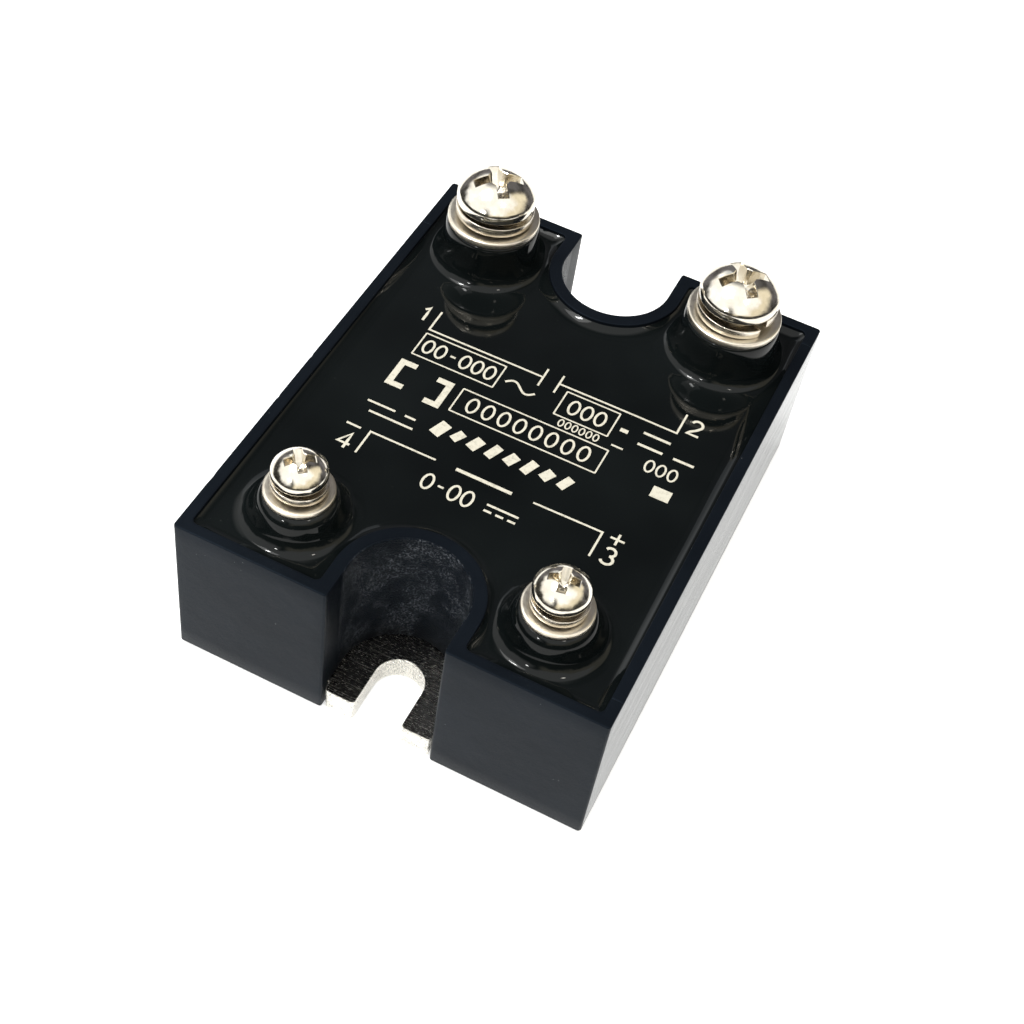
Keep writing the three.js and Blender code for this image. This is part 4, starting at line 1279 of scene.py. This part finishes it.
def wmath(op, a, b=None):
    n = wt.nodes.new("ShaderNodeMath")
    n.operation = op
    for i, x in enumerate((a, b)):
        if x is None:
            continue
        if isinstance(x, (int, float)):
            n.inputs[i].default_value = x
        else:
            wt.links.new(x, n.inputs[i])
    return n.outputs[0]


def wramp(fac, stops):
    n = wt.nodes.new("ShaderNodeValToRGB")
    e = n.color_ramp.elements
    while len(e) < len(stops):
        e.new(0.5)
    for el, (pos, col) in zip(e, stops):
        el.position = pos
        el.color = (*col, 1.0)
    wt.links.new(fac, n.inputs["Fac"])
    return n.outputs["Color"]


def wstep(x, lo, hi):
    n = wt.nodes.new("ShaderNodeMapRange")
    n.interpolation_type = "SMOOTHSTEP"
    n.inputs["From Min"].default_value = lo
    n.inputs["From Max"].default_value = hi
    wt.links.new(x, n.inputs["Value"])
    return n.outputs["Result"]


# a light tent with an open, dark front and a dim back: white cloth on the left and overhead, warm cloth on the right
DX, DY, DZ = sep.outputs[0], sep.outputs[1], sep.outputs[2]
cloud = wt.nodes.new("ShaderNodeTexNoise")
cloud.inputs["Scale"].default_value = 3.2
cloud.inputs["Detail"].default_value = 4
wt.links.new(tc.outputs["Generated"], cloud.inputs["Vector"])
wob = wmath("MULTIPLY", wmath("SUBTRACT", cloud.outputs["Fac"], 0.5), 0.5)
lifted = wstep(wmath("ADD", DZ, wob), 0.30, 0.48)
left_side = wmath("MULTIPLY", wstep(wmath("ADD", wmath("MULTIPLY", DX, -1.0), wmath("MULTIPLY", DY, -0.35)), 0.28, 0.52),
                  lifted)
front_top = wmath("MULTIPLY", wstep(wmath("MULTIPLY", DY, -1.0), -0.34, -0.10),
                  wstep(wmath("ADD", DZ, wob), 0.56, 0.72))
right_side = wmath("MULTIPLY", wstep(wmath("ADD", DX, wmath("MULTIPLY", DY, -0.25)), 0.24, 0.42), lifted)
white = wmath("MAXIMUM", left_side, front_top)
behind = wmath("MULTIPLY", wstep(DY, 0.0, 0.55), wstep(DZ, -0.05, 0.12))


def wadd(a, b, f):
    n = wt.nodes.new("ShaderNodeMix")
    n.data_type = "RGBA"
    wt.links.new(f, n.inputs[0])
    wt.links.new(a, n.inputs[6])
    n.inputs[7].default_value = (*b, 1.0)
    return n.outputs[2]


dark = wramp(cloud.outputs["Fac"], [(0.30, (0.018, 0.017, 0.014)), (0.62, (0.07, 0.068, 0.062))])
room = wadd(dark, (0.20, 0.195, 0.21), wmath("MULTIPLY", behind, wstep(cloud.outputs["Fac"], 0.30, 0.60)))
room = wadd(room, (1.20, 1.10, 0.86), right_side)
room = wadd(room, (1.55, 1.55, 1.52), white)
lp = wt.nodes.new("ShaderNodeLightPath")
mixw = wt.nodes.new("ShaderNodeMix")
mixw.data_type = "RGBA"
wt.links.new(lp.outputs["Is Camera Ray"], mixw.inputs[0])
wt.links.new(room, mixw.inputs[6])
mixw.inputs[7].default_value = (1.0, 1.0, 1.0, 1)
wt.links.new(mixw.outputs[2], bg.inputs["Color"])
bg.inputs["Strength"].default_value = 1.0

cam = bpy.data.cameras.new("camera")
CAM_R = ((0.892704, 0.439575, 0.099263), (0.397979, -0.66568, -0.631255), (-0.211407, 0.603028, -0.769197))
CAM_C = (35.451, -109.556, 142.089)
cam.sensor_width = 36.0
cam.lens = 58.8465
cam.shift_x, cam.shift_y = (0.032108, -0.001262)
cam.clip_start, cam.clip_end = 0.005, 20.0
cam_ob = bpy.data.objects.new("camera", cam)
bpy.context.scene.collection.objects.link(cam_ob)
cam_ob.matrix_world = Matrix((
    (CAM_R[0][0], -CAM_R[1][0], -CAM_R[2][0], CAM_C[0] * MM),
    (CAM_R[0][1], -CAM_R[1][1], -CAM_R[2][1], CAM_C[1] * MM),
    (CAM_R[0][2], -CAM_R[1][2], -CAM_R[2][2], CAM_C[2] * MM),
    (0, 0, 0, 1)))
bpy.context.scene.camera = cam_ob
bpy.context.scene.view_settings.view_transform = "Standard"
bpy.context.scene.view_settings.look = "None"
